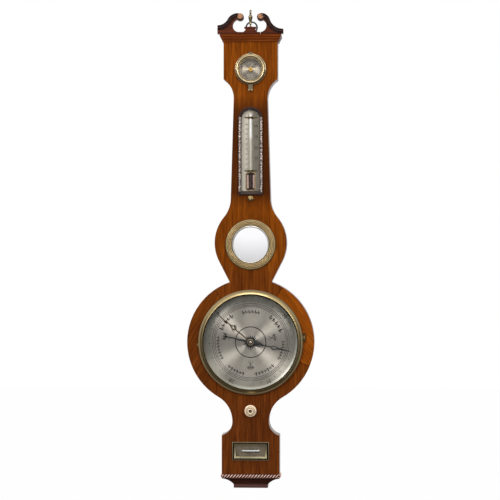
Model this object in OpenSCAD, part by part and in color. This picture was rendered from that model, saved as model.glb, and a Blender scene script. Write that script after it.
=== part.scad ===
// Wheel barometer in a banjo-shaped mahogany case, hung on a wall by its ring.
// The front faces -Y, the wall is at +Y and Z is up.
// The origin is the centre of the hanging ring. All sizes are in millimetres.

/* [Case] */
// Depth of the case from the wall to the veneered front
case_depth = 48; // [46:1:60]
// Thickness of the front veneer
veneer_t = 1.5; // [1:0.1:2]
// Width of the top block
top_block_w = 115.4; // [108:0.2:126]
// Height of the top block down to the shoulders
top_block_h = 96; // [94:1:110]
// Radius of the hollow shoulders
shoulder_r = 49; // [42:1:58]
// Width of the neck at its top
neck_top_w = 72; // [68:0.5:78]
// Width of the neck at its foot
neck_foot_w = 84.6; // [80:0.2:92]
// Length of the tapering neck
neck_len = 213; // [209:1:230]
// Radius of the hollow where the neck swells into the bulge
bulge_fillet_r = 64; // [56:1:70]
// Width of the bulge that carries the mirror
bulge_w = 153.8; // [146:0.2:160]
// Radius of the bulge's sides
bulge_r = 86; // [82:1:92]
// Slope of the straight flanks below the bulge, from the vertical
flank_angle = 27; // [25:0.5:30]
// Distance from the middle of the bulge to the middle of the dial
bulge_to_dial = 212; // [207:1:218]
// Width of wood left round the dial bezel on the round part
round_margin = 23.6; // [20:0.05:28]
// Radius of the hollow below the round
waist_fillet_r = 60; // [54:0.2:66]
// Width of the waist above the base block
waist_w = 78; // [74:0.2:84]
// Height of the straight stretch of the waist
waist_flat = 1; // [0.5:0.5:6]
// Radius of the hollow above the base block
foot_fillet_r = 30; // [26:0.5:34]
// Width of the base block
base_block_w = 123.4; // [118:0.2:130]
// Height of the base block
base_block_h = 82.5; // [78:0.5:92]

/* [Pediment and cornice] */
// Height of the cornice's flat top band
cornice_band_h = 7.4; // [6:0.1:9]
// Radius of the cornice's quarter round
cornice_ovolo_r = 2.2; // [1.5:0.1:3]
// Height of the fillet under the quarter round
cornice_fillet_h = 5.5; // [4:0.1:7]
// Radius of the cornice's hollow
cornice_cove_r = 2; // [1.5:0.1:3]
// Height of the cornice's lowest band
cornice_foot_h = 4.8; // [4:0.1:6]
// How far the cornice's lowest band stands out from the case
cornice_foot_out = 3.7; // [3:0.1:5]
// Thickness of the pediment board
pediment_t = 14; // [10:1:16]
// Height of the pediment's left end above the cornice
pediment_left_h = 18; // [14:0.1:21]
// Height of the pediment's right end, which sits lower, above the cornice
pediment_right_h = 9.8; // [8.6:0.1:17]
// Height of the scrolls' tops above the cornice
scroll_top_h = 43.4; // [40:0.1:48]
// Distance of each scroll's centre from the middle
scroll_x = 22; // [21:0.5:25]
// Radius of the scrolls' rolled ends
scroll_r = 8; // [7:0.1:9]
// Radius of the left swan neck's upper bend
left_swan_r = 24; // [20:0.5:26]
// Radius of the right swan neck's upper bend
right_swan_r = 19; // [17:0.5:24]
// Distance of the left upper bend's centre from the middle
left_swan_x = 27; // [24:0.5:29]
// Distance of the right upper bend's centre from the middle
right_swan_x = 23.5; // [22:0.5:26]
// Distance of the left cut-out's centre from the middle
left_cutout_x = 24.2; // [23:0.1:26]
// Distance of the right cut-out's centre from the middle
right_cutout_x = 20.8; // [20:0.1:24]
// Width of the pediment at its outer ends
pediment_w = 140.4; // [134:0.2:146]
// How far the pediment board stands in front of the case
pediment_out = 10; // [4:0.5:12]
// Radius of the round cut-outs inside the swan necks
cutout_r = 13.5; // [11:0.5:14]
// Height of the board left below the cut-outs
pediment_sill_h = 3.5; // [2:0.5:6]
// Width of the mouldings along the swan necks
swan_mould_w = 7.5; // [6:0.1:9]
// How far the swan-neck mouldings stand out from the board
swan_mould_out = 3.5; // [3:0.1:6]
// Diameter of the scroll rosettes
rosette_d = 11.3; // [9:0.1:13]
// Thickness of the scroll rosettes
rosette_t = 3; // [2:0.5:4]
// Width of the finial plinth's cap
plinth_cap_w = 26; // [22:0.5:30]
// Height of the finial plinth with its cap
plinth_h = 11; // [9:0.5:13]
// Thickness of the finial plinth's cap
plinth_cap_h = 3.2; // [2:0.1:4]
// Depth of the finial plinth
plinth_depth = 14; // [11:0.5:16]
// Height of the finial above its plinth
finial_h = 36.9; // [30:0.1:44]
// Diameter of the finial's urn
finial_d = 9; // [7:0.1:12]

/* [Base mouldings] */
// Height of the rope moulding
rope_h = 8.4; // [7:0.1:10]
// How far the rope moulding stands out from the base block
rope_out = 3.4; // [2.5:0.1:4.5]
// Height of the hollow under the rope moulding
cove_h = 14.5; // [11:0.5:18]
// Width of the base plinth
base_plinth_w = 73; // [68:0.5:80]
// Depth of the base plinth
base_plinth_depth = 40; // [30:0.5:44]
// Height of the base plinth
base_plinth_h = 7.4; // [5:0.1:9]

/* [Hanging ring] */
// Outer diameter of the hanging ring
ring_d = 27; // [24:0.5:32]
// Diameter of the ring's wire
ring_wire_d = 2.5; // [2:0.1:3]
// Distance from the ring's plane back to the wall
ring_to_wall = 4; // [3.8:0.1:6]
// Height of the ring's centre above the top of the case
ring_rise = 19.6; // [18:0.1:22]
// Width of the hanging plate
hang_plate_w = 30; // [24:1:40]
// Height of the hanging plate
hang_plate_h = 33; // [26:1:34]

/* [Weather dial] */
// Diameter of the dial's opening inside the bezel
dial_view_d = 203.2; // [196:0.2:208]
// Width of the dial bezel's rim
bezel_rim = 10.65; // [9:0.05:14]
// How far the dial bezel stands out from the case
bezel_h = 13.5; // [12.5:0.5:16]
// How far the silvered dial plate reaches under the bezel
dial_lap = 6.4; // [5:0.1:7]
// Thickness of the silvered dial plate
dial_plate_t = 1.5; // [1:0.1:2]
// Thickness of the dial glass
dial_glass_t = 2; // [1.5:0.1:2.5]
// Length of the blued hand from its centre to the tip
hand_len = 86; // [76:1:94]
// Length of the blued hand's tail
hand_tail = 62; // [50:1:70]
// Direction of the blued hand, clockwise from the top
hand_angle = 102.8; // [90:0.1:120]
// Length of the brass set hand
set_hand_len = 92; // [80:1:95]
// Length of the brass set hand's tail
set_hand_tail = 14; // [10:1:20]
// Direction of the brass set hand, clockwise from the top
set_hand_angle = -50; // [-70:1:-30]
// Thickness of the hands
hand_t = 0.8; // [0.6:0.1:1.2]
// Diameter of the hand arbor
arbor_d = 3; // [2:0.1:3.6]
// Outer diameter of the set hand's pipe
pipe_d = 8; // [6.6:0.1:10]
// Radius at which the float's thread runs on its pulley
thread_r = 7.06; // [7.06:0.01:7.1]
// Diameter of the float's thread
thread_d = 0.6; // [0.4:0.1:0.8]

/* [Set knob] */
// Height of the set knob's axis above the narrowest part of the waist
set_knob_rise = 22.5; // [18:0.5:26]
// Diameter of the set knob
set_knob_d = 27; // [23:0.5:32]
// How far the set knob stands out from the case
set_knob_h = 15; // [11:0.5:20]
// Diameter of the set knob's spindle
set_spindle_d = 5; // [4:0.1:6]
// Radius at which the set cord runs on its pulleys
set_cord_r = 8; // [7:0.1:9]
// Diameter of the set cord
set_cord_d = 1; // [0.8:0.1:1.2]

/* [Hygrometer] */
// Drop from the top of the case to the middle of the hygrometer
hygro_drop = 75; // [73:0.5:78]
// Outer diameter of the hygrometer's bezel
hygro_d = 68; // [64:0.5:72]
// Diameter of the hygrometer's visible dial
hygro_view_d = 46.8; // [42:0.2:48]
// How far the hygrometer's bezel stands out from the case
hygro_h = 8; // [7:0.5:10]
// Depth of the hygrometer's cup behind the front
hygro_cup_depth = 13; // [11:0.5:14]
// Width of the lift tab under the hygrometer
hygro_tab_w = 11; // [8:0.5:14]
// Length of the lift tab under the hygrometer
hygro_tab_len = 13.5; // [10:0.5:18]

/* [Thermometer] */
// Drop from the foot of the shoulders to the top of the thermometer
thermo_drop = 18.6; // [15:0.1:22]
// Width of the thermometer box
thermo_w = 52; // [48:0.5:54]
// Height of the thermometer box
thermo_h = 187.4; // [182:0.2:190]
// Depth of the thermometer box let into the case
thermo_depth = 13; // [12:0.5:14]
// How far the thermometer box stands out from the case
thermo_out = 4; // [3:0.5:6]
// Wall of the thermometer box
thermo_wall = 6.4; // [5:0.1:7]
// Diameter of the thermometer's glass stem
thermo_stem_d = 6; // [4:0.1:7]
// Width of the window round the thermometer's bulb
bulb_window_w = 18.6; // [14:0.2:22]
// Height of the window round the thermometer's bulb
bulb_window_h = 36; // [30:0.5:38]
// Height of the bulb's window above the foot of the box
bulb_window_rise = 10.6; // [9:0.1:12]
// Corner radius of the window round the bulb
bulb_window_r = 4; // [3:0.5:6]
// Diameter of the knob under the thermometer
thermo_knob_d = 11; // [9:0.5:13]

/* [Mirror] */
// Outer diameter of the mirror's reeded bezel
mirror_d = 108; // [102:1:112]
// Diameter of the visible mirror
mirror_view_d = 75; // [70:1:80]
// Height by which the mirror bulges out
mirror_rise = 6; // [4:0.5:7]
// Number of reeds on the mirror's bezel
mirror_reeds = 5; // [3:1:6]

/* [Spirit level] */
// Width of the level's frame
level_w = 81; // [76:0.5:88]
// Height of the level's frame
level_h = 41; // [36:0.5:46]
// Width of the level's window
level_view_w = 64; // [58:0.5:66]
// Height of the level's window
level_view_h = 23.5; // [20:0.5:26]
// Height of the level above the middle of the base block
level_rise = 8; // [2:0.5:10]
// Diameter of the level's glass vial
vial_d = 9; // [8:0.1:10]
// Length of the level's glass vial
vial_len = 46; // [40:0.5:50]

/* [Siphon tube] */
// Half width of the tube channel in the back of the case
channel_hw = 26; // [25.6:0.1:28]
// Depth of the tube channel from the wall side
channel_depth = 31; // [30:0.5:32]
// Thickness of the channel covers
cover_t = 4; // [3:0.5:5]
// Outer diameter of the siphon tube
tube_d = 8; // [7:0.1:8.6]
// Bore of the siphon tube
tube_bore = 5; // [4:0.1:5.4]
// Outer diameter of the float limb
float_limb_d = 12; // [11:0.1:12.4]
// Bore of the float limb
float_limb_bore = 9.6; // [9:0.1:9.8]
// Distance of the long limb from the middle of the case
long_limb_x = 20; // [19.4:0.1:20.4]
// Height of the mercury column between its two surfaces
mercury_col = 762; // [755:1:765]
// Diameter of the float and its counterweight
float_d = 7; // [6:0.1:7]
// Length of the float and its counterweight
float_len = 14; // [10:0.5:16]

/* [Back door] */
// Width of wood left round the chamber behind the dial
chamber_wall = 35.3; // [33:0.1:38]
// Width of wood left round the back door
door_margin = 24; // [23:0.5:28]
// Thickness of the back door
door_t = 5; // [4:0.5:6]

/* [Fits] */
// Radial clearance of shafts and hinge pins
run_fit = 0.08; // [0.05:0.01:0.1]
// Clearance of loose and moving neighbours
gap = 0.3; // [0.2:0.05:0.4]
// Clearance of the back door in its rebate
door_gap = 1; // [0.8:0.1:1.2]

/* [Hidden] */
$fn = 48;

mahogany = "#7d3f1a";
dark_mahogany = "#3f1c12";
pine = "#b98a55";
brass = "#b08d4a";
silvered = "#cfccc2";
blued = "#1c1d24";
bone = "#e3d2b4";
clear_glass = "#dfe9ea";

// Planes from the wall to the front
back_y = ring_to_wall;
front_y = back_y - case_depth;
board_y = front_y + veneer_t;

// Heights down the case
ring_r = ring_d / 2;
wire_r = ring_wire_d / 2;
ring_mean_r = ring_r - wire_r;
case_top_z = -ring_rise;
top_hw = top_block_w / 2;
neck_top_hw = neck_top_w / 2;
neck_foot_hw = neck_foot_w / 2;
shoulder_top_z = case_top_z - top_block_h;
neck_top_z = shoulder_top_z - sqrt(pow(shoulder_r, 2) - pow(shoulder_r - top_hw + neck_top_hw, 2));
neck_foot_z = neck_top_z - neck_len;
bulge_x = bulge_w / 2 - bulge_r;
bulge_fillet_x = neck_foot_hw + bulge_fillet_r;
bulge_z = neck_foot_z - sqrt(pow(bulge_r + bulge_fillet_r, 2) - pow(bulge_fillet_x - bulge_x, 2));
bulge_join = bulge_r / (bulge_r + bulge_fillet_r);
swell = [bulge_x + (bulge_fillet_x - bulge_x) * bulge_join, bulge_z + (neck_foot_z - bulge_z) * bulge_join];
flank_top = [bulge_x + bulge_r * cos(flank_angle), bulge_z - bulge_r * sin(flank_angle)];
dial_z = bulge_z - bulge_to_dial;
view_r = dial_view_d / 2;
bezel_r = view_r + bezel_rim;
round_r = bezel_r + round_margin;
round_d = 2 * round_r;
// Tiny step where two arcs of an outline meet, which keeps their edges apart
ease = 0.03;
flank_foot = [flank_top[0] - (flank_top[1] - dial_z - round_r * 0.8) * tan(flank_angle), dial_z + round_r * 0.8];
waist_hw = waist_w / 2;
waist_x = waist_hw + waist_fillet_r;
waist_z = dial_z - sqrt(pow(round_r + waist_fillet_r, 2) - pow(waist_x, 2));
waist_join = round_r / (round_r + waist_fillet_r);
tuck = [waist_x * waist_join, dial_z + (waist_z - dial_z) * waist_join];
foot_z = waist_z - waist_flat;
base_hw = base_block_w / 2;
foot_x = waist_hw + foot_fillet_r;
base_top_z = foot_z - sqrt(pow(foot_fillet_r, 2) - pow(foot_x - base_hw, 2));
base_z = base_top_z - base_block_h;
rope_z = base_z - rope_h;
cove_z = rope_z - cove_h;

// Places of the instruments
hygro_z = case_top_z - hygro_drop;
hygro_view_r = hygro_view_d / 2;
hygro_cup_r = hygro_view_r + 4;
thermo_top_z = neck_top_z - thermo_drop;
thermo_foot_z = thermo_top_z - thermo_h;
thermo_knob_z = thermo_foot_z - thermo_knob_d / 2 - 2.5;
thermo_shaft_r = 2.5;
thermo_shaft_depth = 11;
mirror_z = bulge_z - 3.5;
mirror_seat_r = mirror_view_d / 2 + 5;
mirror_seat_depth = 6;
set_knob_z = waist_z + set_knob_rise;
bush_r = set_spindle_d / 2 + 2.5;
level_z = (base_top_z + base_z) / 2 + level_rise;
level_margin = 3;
level_well = vial_d + 5;

// Layers of the weather dial, front faces towards -Y
dial_back_y = board_y + 2;
dial_y = dial_back_y - dial_plate_t;
bezel_back_y = front_y - gap;
bezel_front_y = bezel_back_y - bezel_h;
glass_front_y = bezel_front_y + 4.5;
glass_back_y = glass_front_y + dial_glass_t;
set_hand_y = dial_y - 2.6;
set_hand_front_y = set_hand_y - hand_t - 0.4;
hand_y = set_hand_front_y - 1.5;
hand_front_y = hand_y - hand_t - 0.4;
set_pulley_y = dial_back_y + 2;
set_pulley_t = 5;
bridge_mid_y = set_pulley_y + set_pulley_t + 2.5;
bridge_bar_t = 2;
chamber_r = round_r - chamber_wall;
dial_plate_r = view_r + dial_lap;

// Back of the case
channel_y = back_y - channel_depth;
tube_y = back_y - cover_t - 14;
bridge_rear_y = tube_y + tube_d / 2 + 2;
door_back_y = back_y - 3;
door_front_y = door_back_y - door_t;
door_r = round_r - door_margin;
rebate_r = door_r + door_gap;
door_hinge_x = -door_r - 3.2;
door_hinge_y = door_back_y - 0.7;
door_knuckle_r = 2.4;
door_pin_r = 1.2;
door_knuckle_len = 13;
door_knuckle_half = door_knuckle_len / 2;
hinge_seat_half = 3 * door_knuckle_half + 2;
door_leaf_w = 10;
door_leaf_t = 1.2;
button_x = rebate_r + 6;
button_r = 3.5;
button_reach = 9;
button_pin_r = 1.6;
cover_lap = 4;
cover_hw = channel_hw + cover_lap;
cover_back_y = back_y - 1;
cover_floor_y = cover_back_y - cover_t;
channel_top_z = case_top_z - 43;
channel_foot_z = level_z - level_h / 2 - 12;

// Siphon tube
tube_r = tube_d / 2;
bore_r = tube_bore / 2;
limb_r = float_limb_d / 2;
limb_bore_r = float_limb_bore / 2;
bend_r = (long_limb_x - thread_r) / 2;
bend_x = (long_limb_x + thread_r) / 2;
tube_top_z = channel_top_z - 6;
column_top_z = tube_top_z - 12;
float_low = 7;
float_z = column_top_z - mercury_col;
mercury_low_z = float_z - float_low;
limb_top_z = float_z + 54;
limb_foot_z = float_z - 42;
bend_z = limb_foot_z - 36;
float_r = float_d / 2;
weight_z = limb_top_z + 12;

// Cylinder along Y between two planes
module rod_y(r, y0, y1, x = 0, z = 0) {
    translate([x, y0, z]) rotate([-90, 0, 0]) cylinder(r = r, h = y1 - y0);
}

// Outline drawn in X and Z, as thick as the space between two planes
module slab(y0, y1) {
    translate([0, y1, 0]) rotate([90, 0, 0]) linear_extrude(y1 - y0) children();
}

// Profile of radius and forward depth, turned about an axis along Y
module turned(y, x = 0, z = 0) {
    translate([x, y, z]) rotate([90, 0, 0]) rotate_extrude() children();
}

// Box between two corners
module block(low, high) {
    translate(low) cube(high - low);
}

// Round-headed slotted screw whose head stands on plane y; side is -1 to the front, 1 to the back
module screw(x, y, z, head_r, side = -1) {
    head_t = head_r * 0.5;
    difference() {
        rod_y(head_r, side < 0 ? y - head_t : y, side < 0 ? y : y + head_t, x, z);
        block([x - head_r - 1, side < 0 ? y - head_t - 1 : y + head_t / 2, z - head_r * 0.14],
            [x + head_r + 1, side < 0 ? y - head_t / 2 : y + head_t + 1, z + head_r * 0.14]);
    }
}

// Outline given by its right-hand points from top to bottom
module mirrored_outline(points) {
    count = len(points);
    polygon(concat(points, [for (i = [count - 1:-1:0]) [-points[i][0], points[i][1]]]));
}

// Stretch of the case between two right-hand points, hollowed on both sides by an arc
module hollow_stretch(upper, lower, arc_c, arc_r) {
    difference() {
        mirrored_outline([upper, lower]);
        for (side = [-1, 1])
            translate([side * arc_c[0], arc_c[1]]) circle(r = arc_r + ease);
    }
}

// The banjo-shaped case between two planes, stretch by stretch from the top
module case_form(y0, y1) {
    slab(y0, y1) mirrored_outline([[top_hw, case_top_z], [top_hw, shoulder_top_z]]);
    slab(y0, y1) hollow_stretch([top_hw, shoulder_top_z], [top_hw, neck_top_z],
        [neck_top_hw + shoulder_r, neck_top_z], shoulder_r);
    slab(y0, y1) mirrored_outline([[neck_top_hw, neck_top_z], [neck_foot_hw, neck_foot_z]]);
    slab(y0, y1) hollow_stretch([neck_foot_hw, neck_foot_z], swell, [bulge_fillet_x, neck_foot_z], bulge_fillet_r);
    slab(y0, y1) intersection() {
        translate([bulge_x, bulge_z]) circle(r = bulge_r);
        translate([-bulge_x, bulge_z]) circle(r = bulge_r);
        mirrored_outline([[bulge_w, swell[1]], [bulge_w, flank_top[1]]]);
    }
    slab(y0, y1) mirrored_outline([flank_top - [ease, 0], flank_foot - [ease, 0]]);
    slab(y0, y1) intersection() {
        translate([0, dial_z]) circle(r = round_r);
        mirrored_outline([[round_d, dial_z + round_d], [round_d, tuck[1]]]);
    }
    slab(y0, y1) hollow_stretch(tuck, [waist_hw, waist_z], [waist_x, waist_z], waist_fillet_r);
    slab(y0, y1) mirrored_outline([[waist_hw, waist_z], [waist_hw, foot_z]]);
    slab(y0, y1) hollow_stretch([waist_hw, foot_z], [base_hw, base_top_z], [foot_x, foot_z], foot_fillet_r);
    slab(y0, y1) mirrored_outline([[base_hw, base_top_z], [base_hw, base_z]]);
}

// Round-topped outline of the thermometer box, grown by a margin
module thermo_outline(grow = 0) {
    hw = thermo_w / 2 + grow;
    spring_z = thermo_top_z - thermo_w / 2;
    translate([-hw, thermo_foot_z - grow]) square([2 * hw, spring_z - thermo_foot_z + grow]);
    translate([0, spring_z]) circle(r = hw);
}

// Holes that the front board and the veneer share
module front_openings() {
    rod_y(hygro_cup_r + gap, front_y - 1, front_y + hygro_cup_depth + gap, 0, hygro_z);
    slab(front_y - 1, front_y + thermo_depth + gap) thermo_outline(gap);
    rod_y(mirror_seat_r + gap, front_y - 1, front_y + mirror_seat_depth + gap, 0, mirror_z);
    rod_y(bush_r + gap, front_y - 1, channel_y + 1, 0, set_knob_z);
    rod_y(thermo_shaft_r + run_fit, front_y - 1, front_y + thermo_shaft_depth + 1, 0, thermo_knob_z);
    block([-level_view_w / 2 - level_margin, front_y - 1, level_z - level_view_h / 2 - level_margin],
        [level_view_w / 2 + level_margin, front_y + level_well, level_z + level_view_h / 2 + level_margin]);
}

module carcass() {
    color(pine) difference() {
        case_form(board_y, back_y);
        front_openings();
        // Chamber, dial rebate and door rebate
        rod_y(chamber_r, board_y - 1, back_y + 1, 0, dial_z);
        rod_y(dial_plate_r + gap, board_y - 1, dial_back_y, 0, dial_z);
        rod_y(rebate_r, door_front_y - gap, back_y + 1, 0, dial_z);
        // Tube channel with the rebates of its covers
        block([-channel_hw, channel_y, channel_foot_z], [channel_hw, back_y + 1, channel_top_z]);
        block([-cover_hw - gap, cover_floor_y, channel_foot_z - cover_lap - gap],
            [cover_hw + gap, back_y + 1, channel_top_z + cover_lap + gap]);
        // Slot of the set cord
        block([-set_cord_r - 4, dial_back_y + 1.5, set_knob_z - set_cord_r - 5],
            [set_cord_r + 4, channel_y + 1, dial_z]);
        // Seats of the hanging plate, the door hinge and the turn button
        block([-hang_plate_w / 2 - gap, back_y - 3, case_top_z - hang_plate_h - 2],
            [hang_plate_w / 2 + gap, back_y + 1, case_top_z + 1]);
        block([door_hinge_x - 4, door_hinge_y - 3, dial_z - hinge_seat_half - 10],
            [door_hinge_x + 7, back_y + 1, dial_z + hinge_seat_half + 10]);
        block([door_hinge_x - door_leaf_w - 1, door_hinge_y - door_leaf_t / 2, dial_z - hinge_seat_half],
            [door_hinge_x, back_y + 1, dial_z + hinge_seat_half]);
        rod_y(button_reach + button_r + 2.5, door_back_y + 0.2, back_y + 1, button_x, dial_z);
        rod_y(button_pin_r, door_back_y - 10, back_y, button_x, dial_z);
    }
}

module front_veneer() {
    color(mahogany) difference() {
        case_form(front_y, board_y);
        front_openings();
        rod_y(dial_plate_r + 1, front_y - 1, board_y + 1, 0, dial_z);
    }
}

// Pediment: swan necks made of two arcs that meet smoothly.
// Each side is [height of its end, radius of its upper bend, that bend's x, x of its cut-out], drawn on the left
left_side = [case_top_z + pediment_left_h, left_swan_r, -left_swan_x, -left_cutout_x];
right_side = [case_top_z + pediment_right_h, right_swan_r, -right_swan_x, -right_cutout_x];
tip_x = pediment_w / 2;
dip_x = -tip_x + 1;
scroll_top_z = case_top_z + scroll_top_h;
// Centre of the upper bend, radius and centre of the lower bend, and where the two meet
function swan_centre(side) = [side[2], scroll_top_z - side[1]];
function dip_radius(side) = (pow(side[2] - dip_x, 2) + pow(side[0] - swan_centre(side)[1], 2) - pow(side[1], 2))
    / (2 * (side[1] - side[0] + swan_centre(side)[1]));
function dip_centre(side) = [dip_x, side[0] + dip_radius(side)];
function bend_join(side) = swan_centre(side)
    + (dip_centre(side) - swan_centre(side)) * side[1] / (side[1] + dip_radius(side));
scroll_z = scroll_top_z - scroll_r;
rosette_z = scroll_z + 1.5;
cutout_z = case_top_z + pediment_sill_h + cutout_r;
pediment_y = front_y - pediment_out;

// Half of the pediment, drawn on the left: foot and lower bend, upper bend, rolled end and sill
module pediment_half(y0, y1, side) {
    join = bend_join(side);
    swan_c = swan_centre(side);
    swan_r = side[1];
    tip_z = side[0];
    difference() {
        union() {
            slab(y0, y1) difference() {
                polygon([[-tip_x, case_top_z], [-tip_x, tip_z], [dip_x, tip_z], join,
                    swan_c, [-scroll_x, swan_c[1]], [-scroll_x, case_top_z]]);
                translate(dip_centre(side)) circle(r = dip_radius(side) + ease);
            }
            slab(y0, y1) intersection() {
                translate(swan_c) circle(r = swan_r);
                polygon([join, swan_c, [-scroll_x, swan_c[1]], [-scroll_x, scroll_top_z + 1], join + [0, swan_r]]);
            }
        }
        rod_y(cutout_r, y0 - 1, y1 + 1, side[3], cutout_z);
    }
    rod_y(scroll_r, y0, y1, -scroll_x, scroll_z);
    slab(y0, y1) translate([side[3], case_top_z]) square([-side[3], pediment_sill_h]);
}

module pediment_board() {
    color(dark_mahogany) {
        pediment_half(pediment_y, pediment_y + pediment_t, left_side);
        mirror([1, 0, 0]) pediment_half(pediment_y, pediment_y + pediment_t, right_side);
    }
}

// Moulding along the top edge of a swan neck, drawn on the left: upper bend up to the rosette, then lower bend
module swan_moulding(side) {
    y0 = pediment_y - swan_mould_out;
    join = bend_join(side);
    swan_c = swan_centre(side);
    swan_r = side[1];
    dip_c = dip_centre(side);
    dip_r = dip_radius(side);
    bend_lap = 0.6;
    difference() {
        slab(y0, pediment_y) intersection() {
            difference() {
                translate(swan_c) circle(r = swan_r);
                translate(swan_c) circle(r = swan_r - swan_mould_w);
            }
            polygon([swan_c, swan_c + 3 * (join - swan_c), swan_c + [0, 3 * swan_r]]);
        }
        rod_y(rosette_d / 2 + gap, y0 - 1, pediment_y + 1, -scroll_x, rosette_z);
    }
    slab(y0, pediment_y) intersection() {
        difference() {
            translate(dip_c) circle(r = dip_r + swan_mould_w - ease);
            translate(dip_c) circle(r = dip_r + ease);
        }
        polygon([dip_c, dip_c + 2 * (join - dip_c) + [0, bend_lap], [dip_c[0], dip_c[1] - 3 * dip_r]]);
    }
}

module swan_mouldings() {
    color(dark_mahogany) {
        swan_moulding(left_side);
        mirror([1, 0, 0]) swan_moulding(right_side);
    }
}

module scroll_rosettes() {
    r = rosette_d / 2;
    color(bone) for (side = [-1, 1])
        turned(pediment_y, side * scroll_x, rosette_z)
            polygon([[0, 0], [r, 0], [r, rosette_t * 0.4], [r * 0.8, rosette_t * 0.8], [r * 0.5, rosette_t * 0.7],
                [r * 0.35, rosette_t], [0, rosette_t]]);
}

plinth_z = case_top_z + pediment_sill_h;
plinth_top_z = plinth_z + plinth_h;

module finial_plinth() {
    cap_hw = plinth_cap_w / 2;
    neck_h = plinth_h - plinth_cap_h;
    color(dark_mahogany) slab(pediment_y, pediment_y + plinth_depth) {
        difference() {
            translate([-cap_hw - 2, plinth_z]) square([2 * cap_hw + 4, neck_h]);
            for (side = [-1, 1])
                translate([side * (cap_hw - 3 + neck_h), plinth_top_z - plinth_cap_h]) circle(r = neck_h);
        }
        translate([-cap_hw, plinth_top_z - plinth_cap_h]) square([plinth_cap_w, plinth_cap_h]);
    }
}

module finial() {
    r = finial_d / 2;
    h = finial_h;
    ball = finial_d * 0.27;
    color(brass) translate([0, pediment_y + plinth_depth / 2, plinth_top_z]) {
        rotate_extrude() polygon([[0, 0], [r * 0.8, 0], [r * 0.8, h * 0.035], [r * 0.35, h * 0.06], [r * 0.35, h * 0.13],
            [r * 0.55, h * 0.16], [r * 0.55, h * 0.19], [r * 0.5, h * 0.3], [r * 0.85, h * 0.46], [r, h * 0.56],
            [r, h * 0.62], [r * 0.65, h * 0.66], [r * 0.65, h * 0.69], [r * 0.36, h * 0.73], [r * 0.55, h * 0.8],
            [r * 0.36, h * 0.86], [r * 0.36, h * 0.9], [0, h * 0.9]]);
        translate([0, 0, h - ball]) sphere(r = ball);
    }
}

// Moulding carried round the front and both sides of the case, with mitred corners.
// The child draws its profile to the right of the reach, hanging down from zero.
module mitred(reach, top_z) {
    intersection() {
        translate([-reach - blank_w, back_y, top_z]) rotate([90, 0, 90]) linear_extrude(2 * reach + 2 * blank_w)
            mirror([1, 0]) profile_reach(case_depth) children();
        translate([0, back_y, top_z]) rotate([90, 0, 0]) linear_extrude(case_depth + blank_w) {
            profile_reach(reach) children();
            mirror([1, 0]) profile_reach(reach) children();
        }
    }
}

// Profile moved out to its reach
module profile_reach(reach) {
    translate([reach, 0]) children();
}

// Width of the moulding blanks behind their faces
blank_w = 70;
cornice_h = cornice_band_h + cornice_ovolo_r + cornice_fillet_h + cornice_cove_r + cornice_foot_h;

module cornice_profile() {
    ovolo_out = cornice_foot_out + cornice_cove_r;
    band_out = ovolo_out + cornice_ovolo_r;
    cove_top = cornice_band_h + cornice_ovolo_r + cornice_fillet_h;
    translate([-blank_w, -cornice_band_h]) square([blank_w + band_out, cornice_band_h]);
    translate([-blank_w, -cove_top]) square([blank_w + ovolo_out, cove_top - cornice_band_h]);
    intersection() {
        translate([ovolo_out, -cornice_band_h]) circle(r = cornice_ovolo_r);
        translate([0, -cornice_band_h - cornice_ovolo_r]) square([ovolo_out + cornice_ovolo_r, cornice_ovolo_r]);
    }
    difference() {
        translate([-blank_w, -cove_top - cornice_cove_r]) square([blank_w + ovolo_out, cornice_cove_r]);
        translate([ovolo_out, -cove_top - cornice_cove_r]) circle(r = cornice_cove_r);
    }
    translate([-blank_w, -cornice_h]) square([blank_w + cornice_foot_out, cornice_foot_h]);
}

module cornice() {
    color(dark_mahogany) difference() {
        mitred(top_hw, case_top_z) cornice_profile();
        block([-top_hw, front_y, case_top_z - cornice_h - 1], [top_hw, back_y + 1, case_top_z + 1]);
    }
}

module rope_profile() {
    translate([-blank_w, -rope_h]) square([blank_w, rope_h]);
    intersection() {
        translate([rope_out - rope_h / 2, -rope_h / 2]) circle(r = rope_h / 2);
        translate([-1, -rope_h]) square([rope_out + 1, rope_h]);
    }
}

module rope_moulding() {
    color(bone) difference() {
        mitred(base_hw, base_z) rope_profile();
        block([-base_hw + 8, front_y + 8, rope_z - 1], [base_hw - 8, back_y + 1, base_z + 1]);
    }
}

// Points of the hollow that draws the base in to its plinth, between an elliptic quarter and a straight slope
cove_steps = 10;
cove_lip = 1.4;
cove_depth = 0.6;
function hollow(i) = cove_depth * (1 - sin(i * 90 / cove_steps)) + (1 - cove_depth) * cos(i * 90 / cove_steps);
function cove_points(reach, run) = concat([[reach + run, 0], [reach + run, -cove_lip]],
    [for (i = [1:cove_steps]) [reach + run * hollow(i),
        -cove_lip - (cove_h - cove_lip) * (1 - cos(i * 90 / cove_steps))]]);

module base_cove() {
    plinth_hw = base_plinth_w / 2;
    color(dark_mahogany) intersection() {
        translate([-base_hw, back_y, rope_z]) rotate([90, 0, 90]) linear_extrude(base_block_w) mirror([1, 0])
            polygon(concat([[0, 0]], cove_points(base_plinth_depth, case_depth - base_plinth_depth), [[0, -cove_h]]));
        translate([0, back_y, rope_z]) rotate([90, 0, 0]) linear_extrude(case_depth)
            mirrored_outline(cove_points(plinth_hw, base_hw - plinth_hw));
    }
}

module base_plinth() {
    color(dark_mahogany)
        block([-base_plinth_w / 2, back_y - base_plinth_depth, cove_z - base_plinth_h],
            [base_plinth_w / 2, back_y, cove_z]);
}

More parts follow.
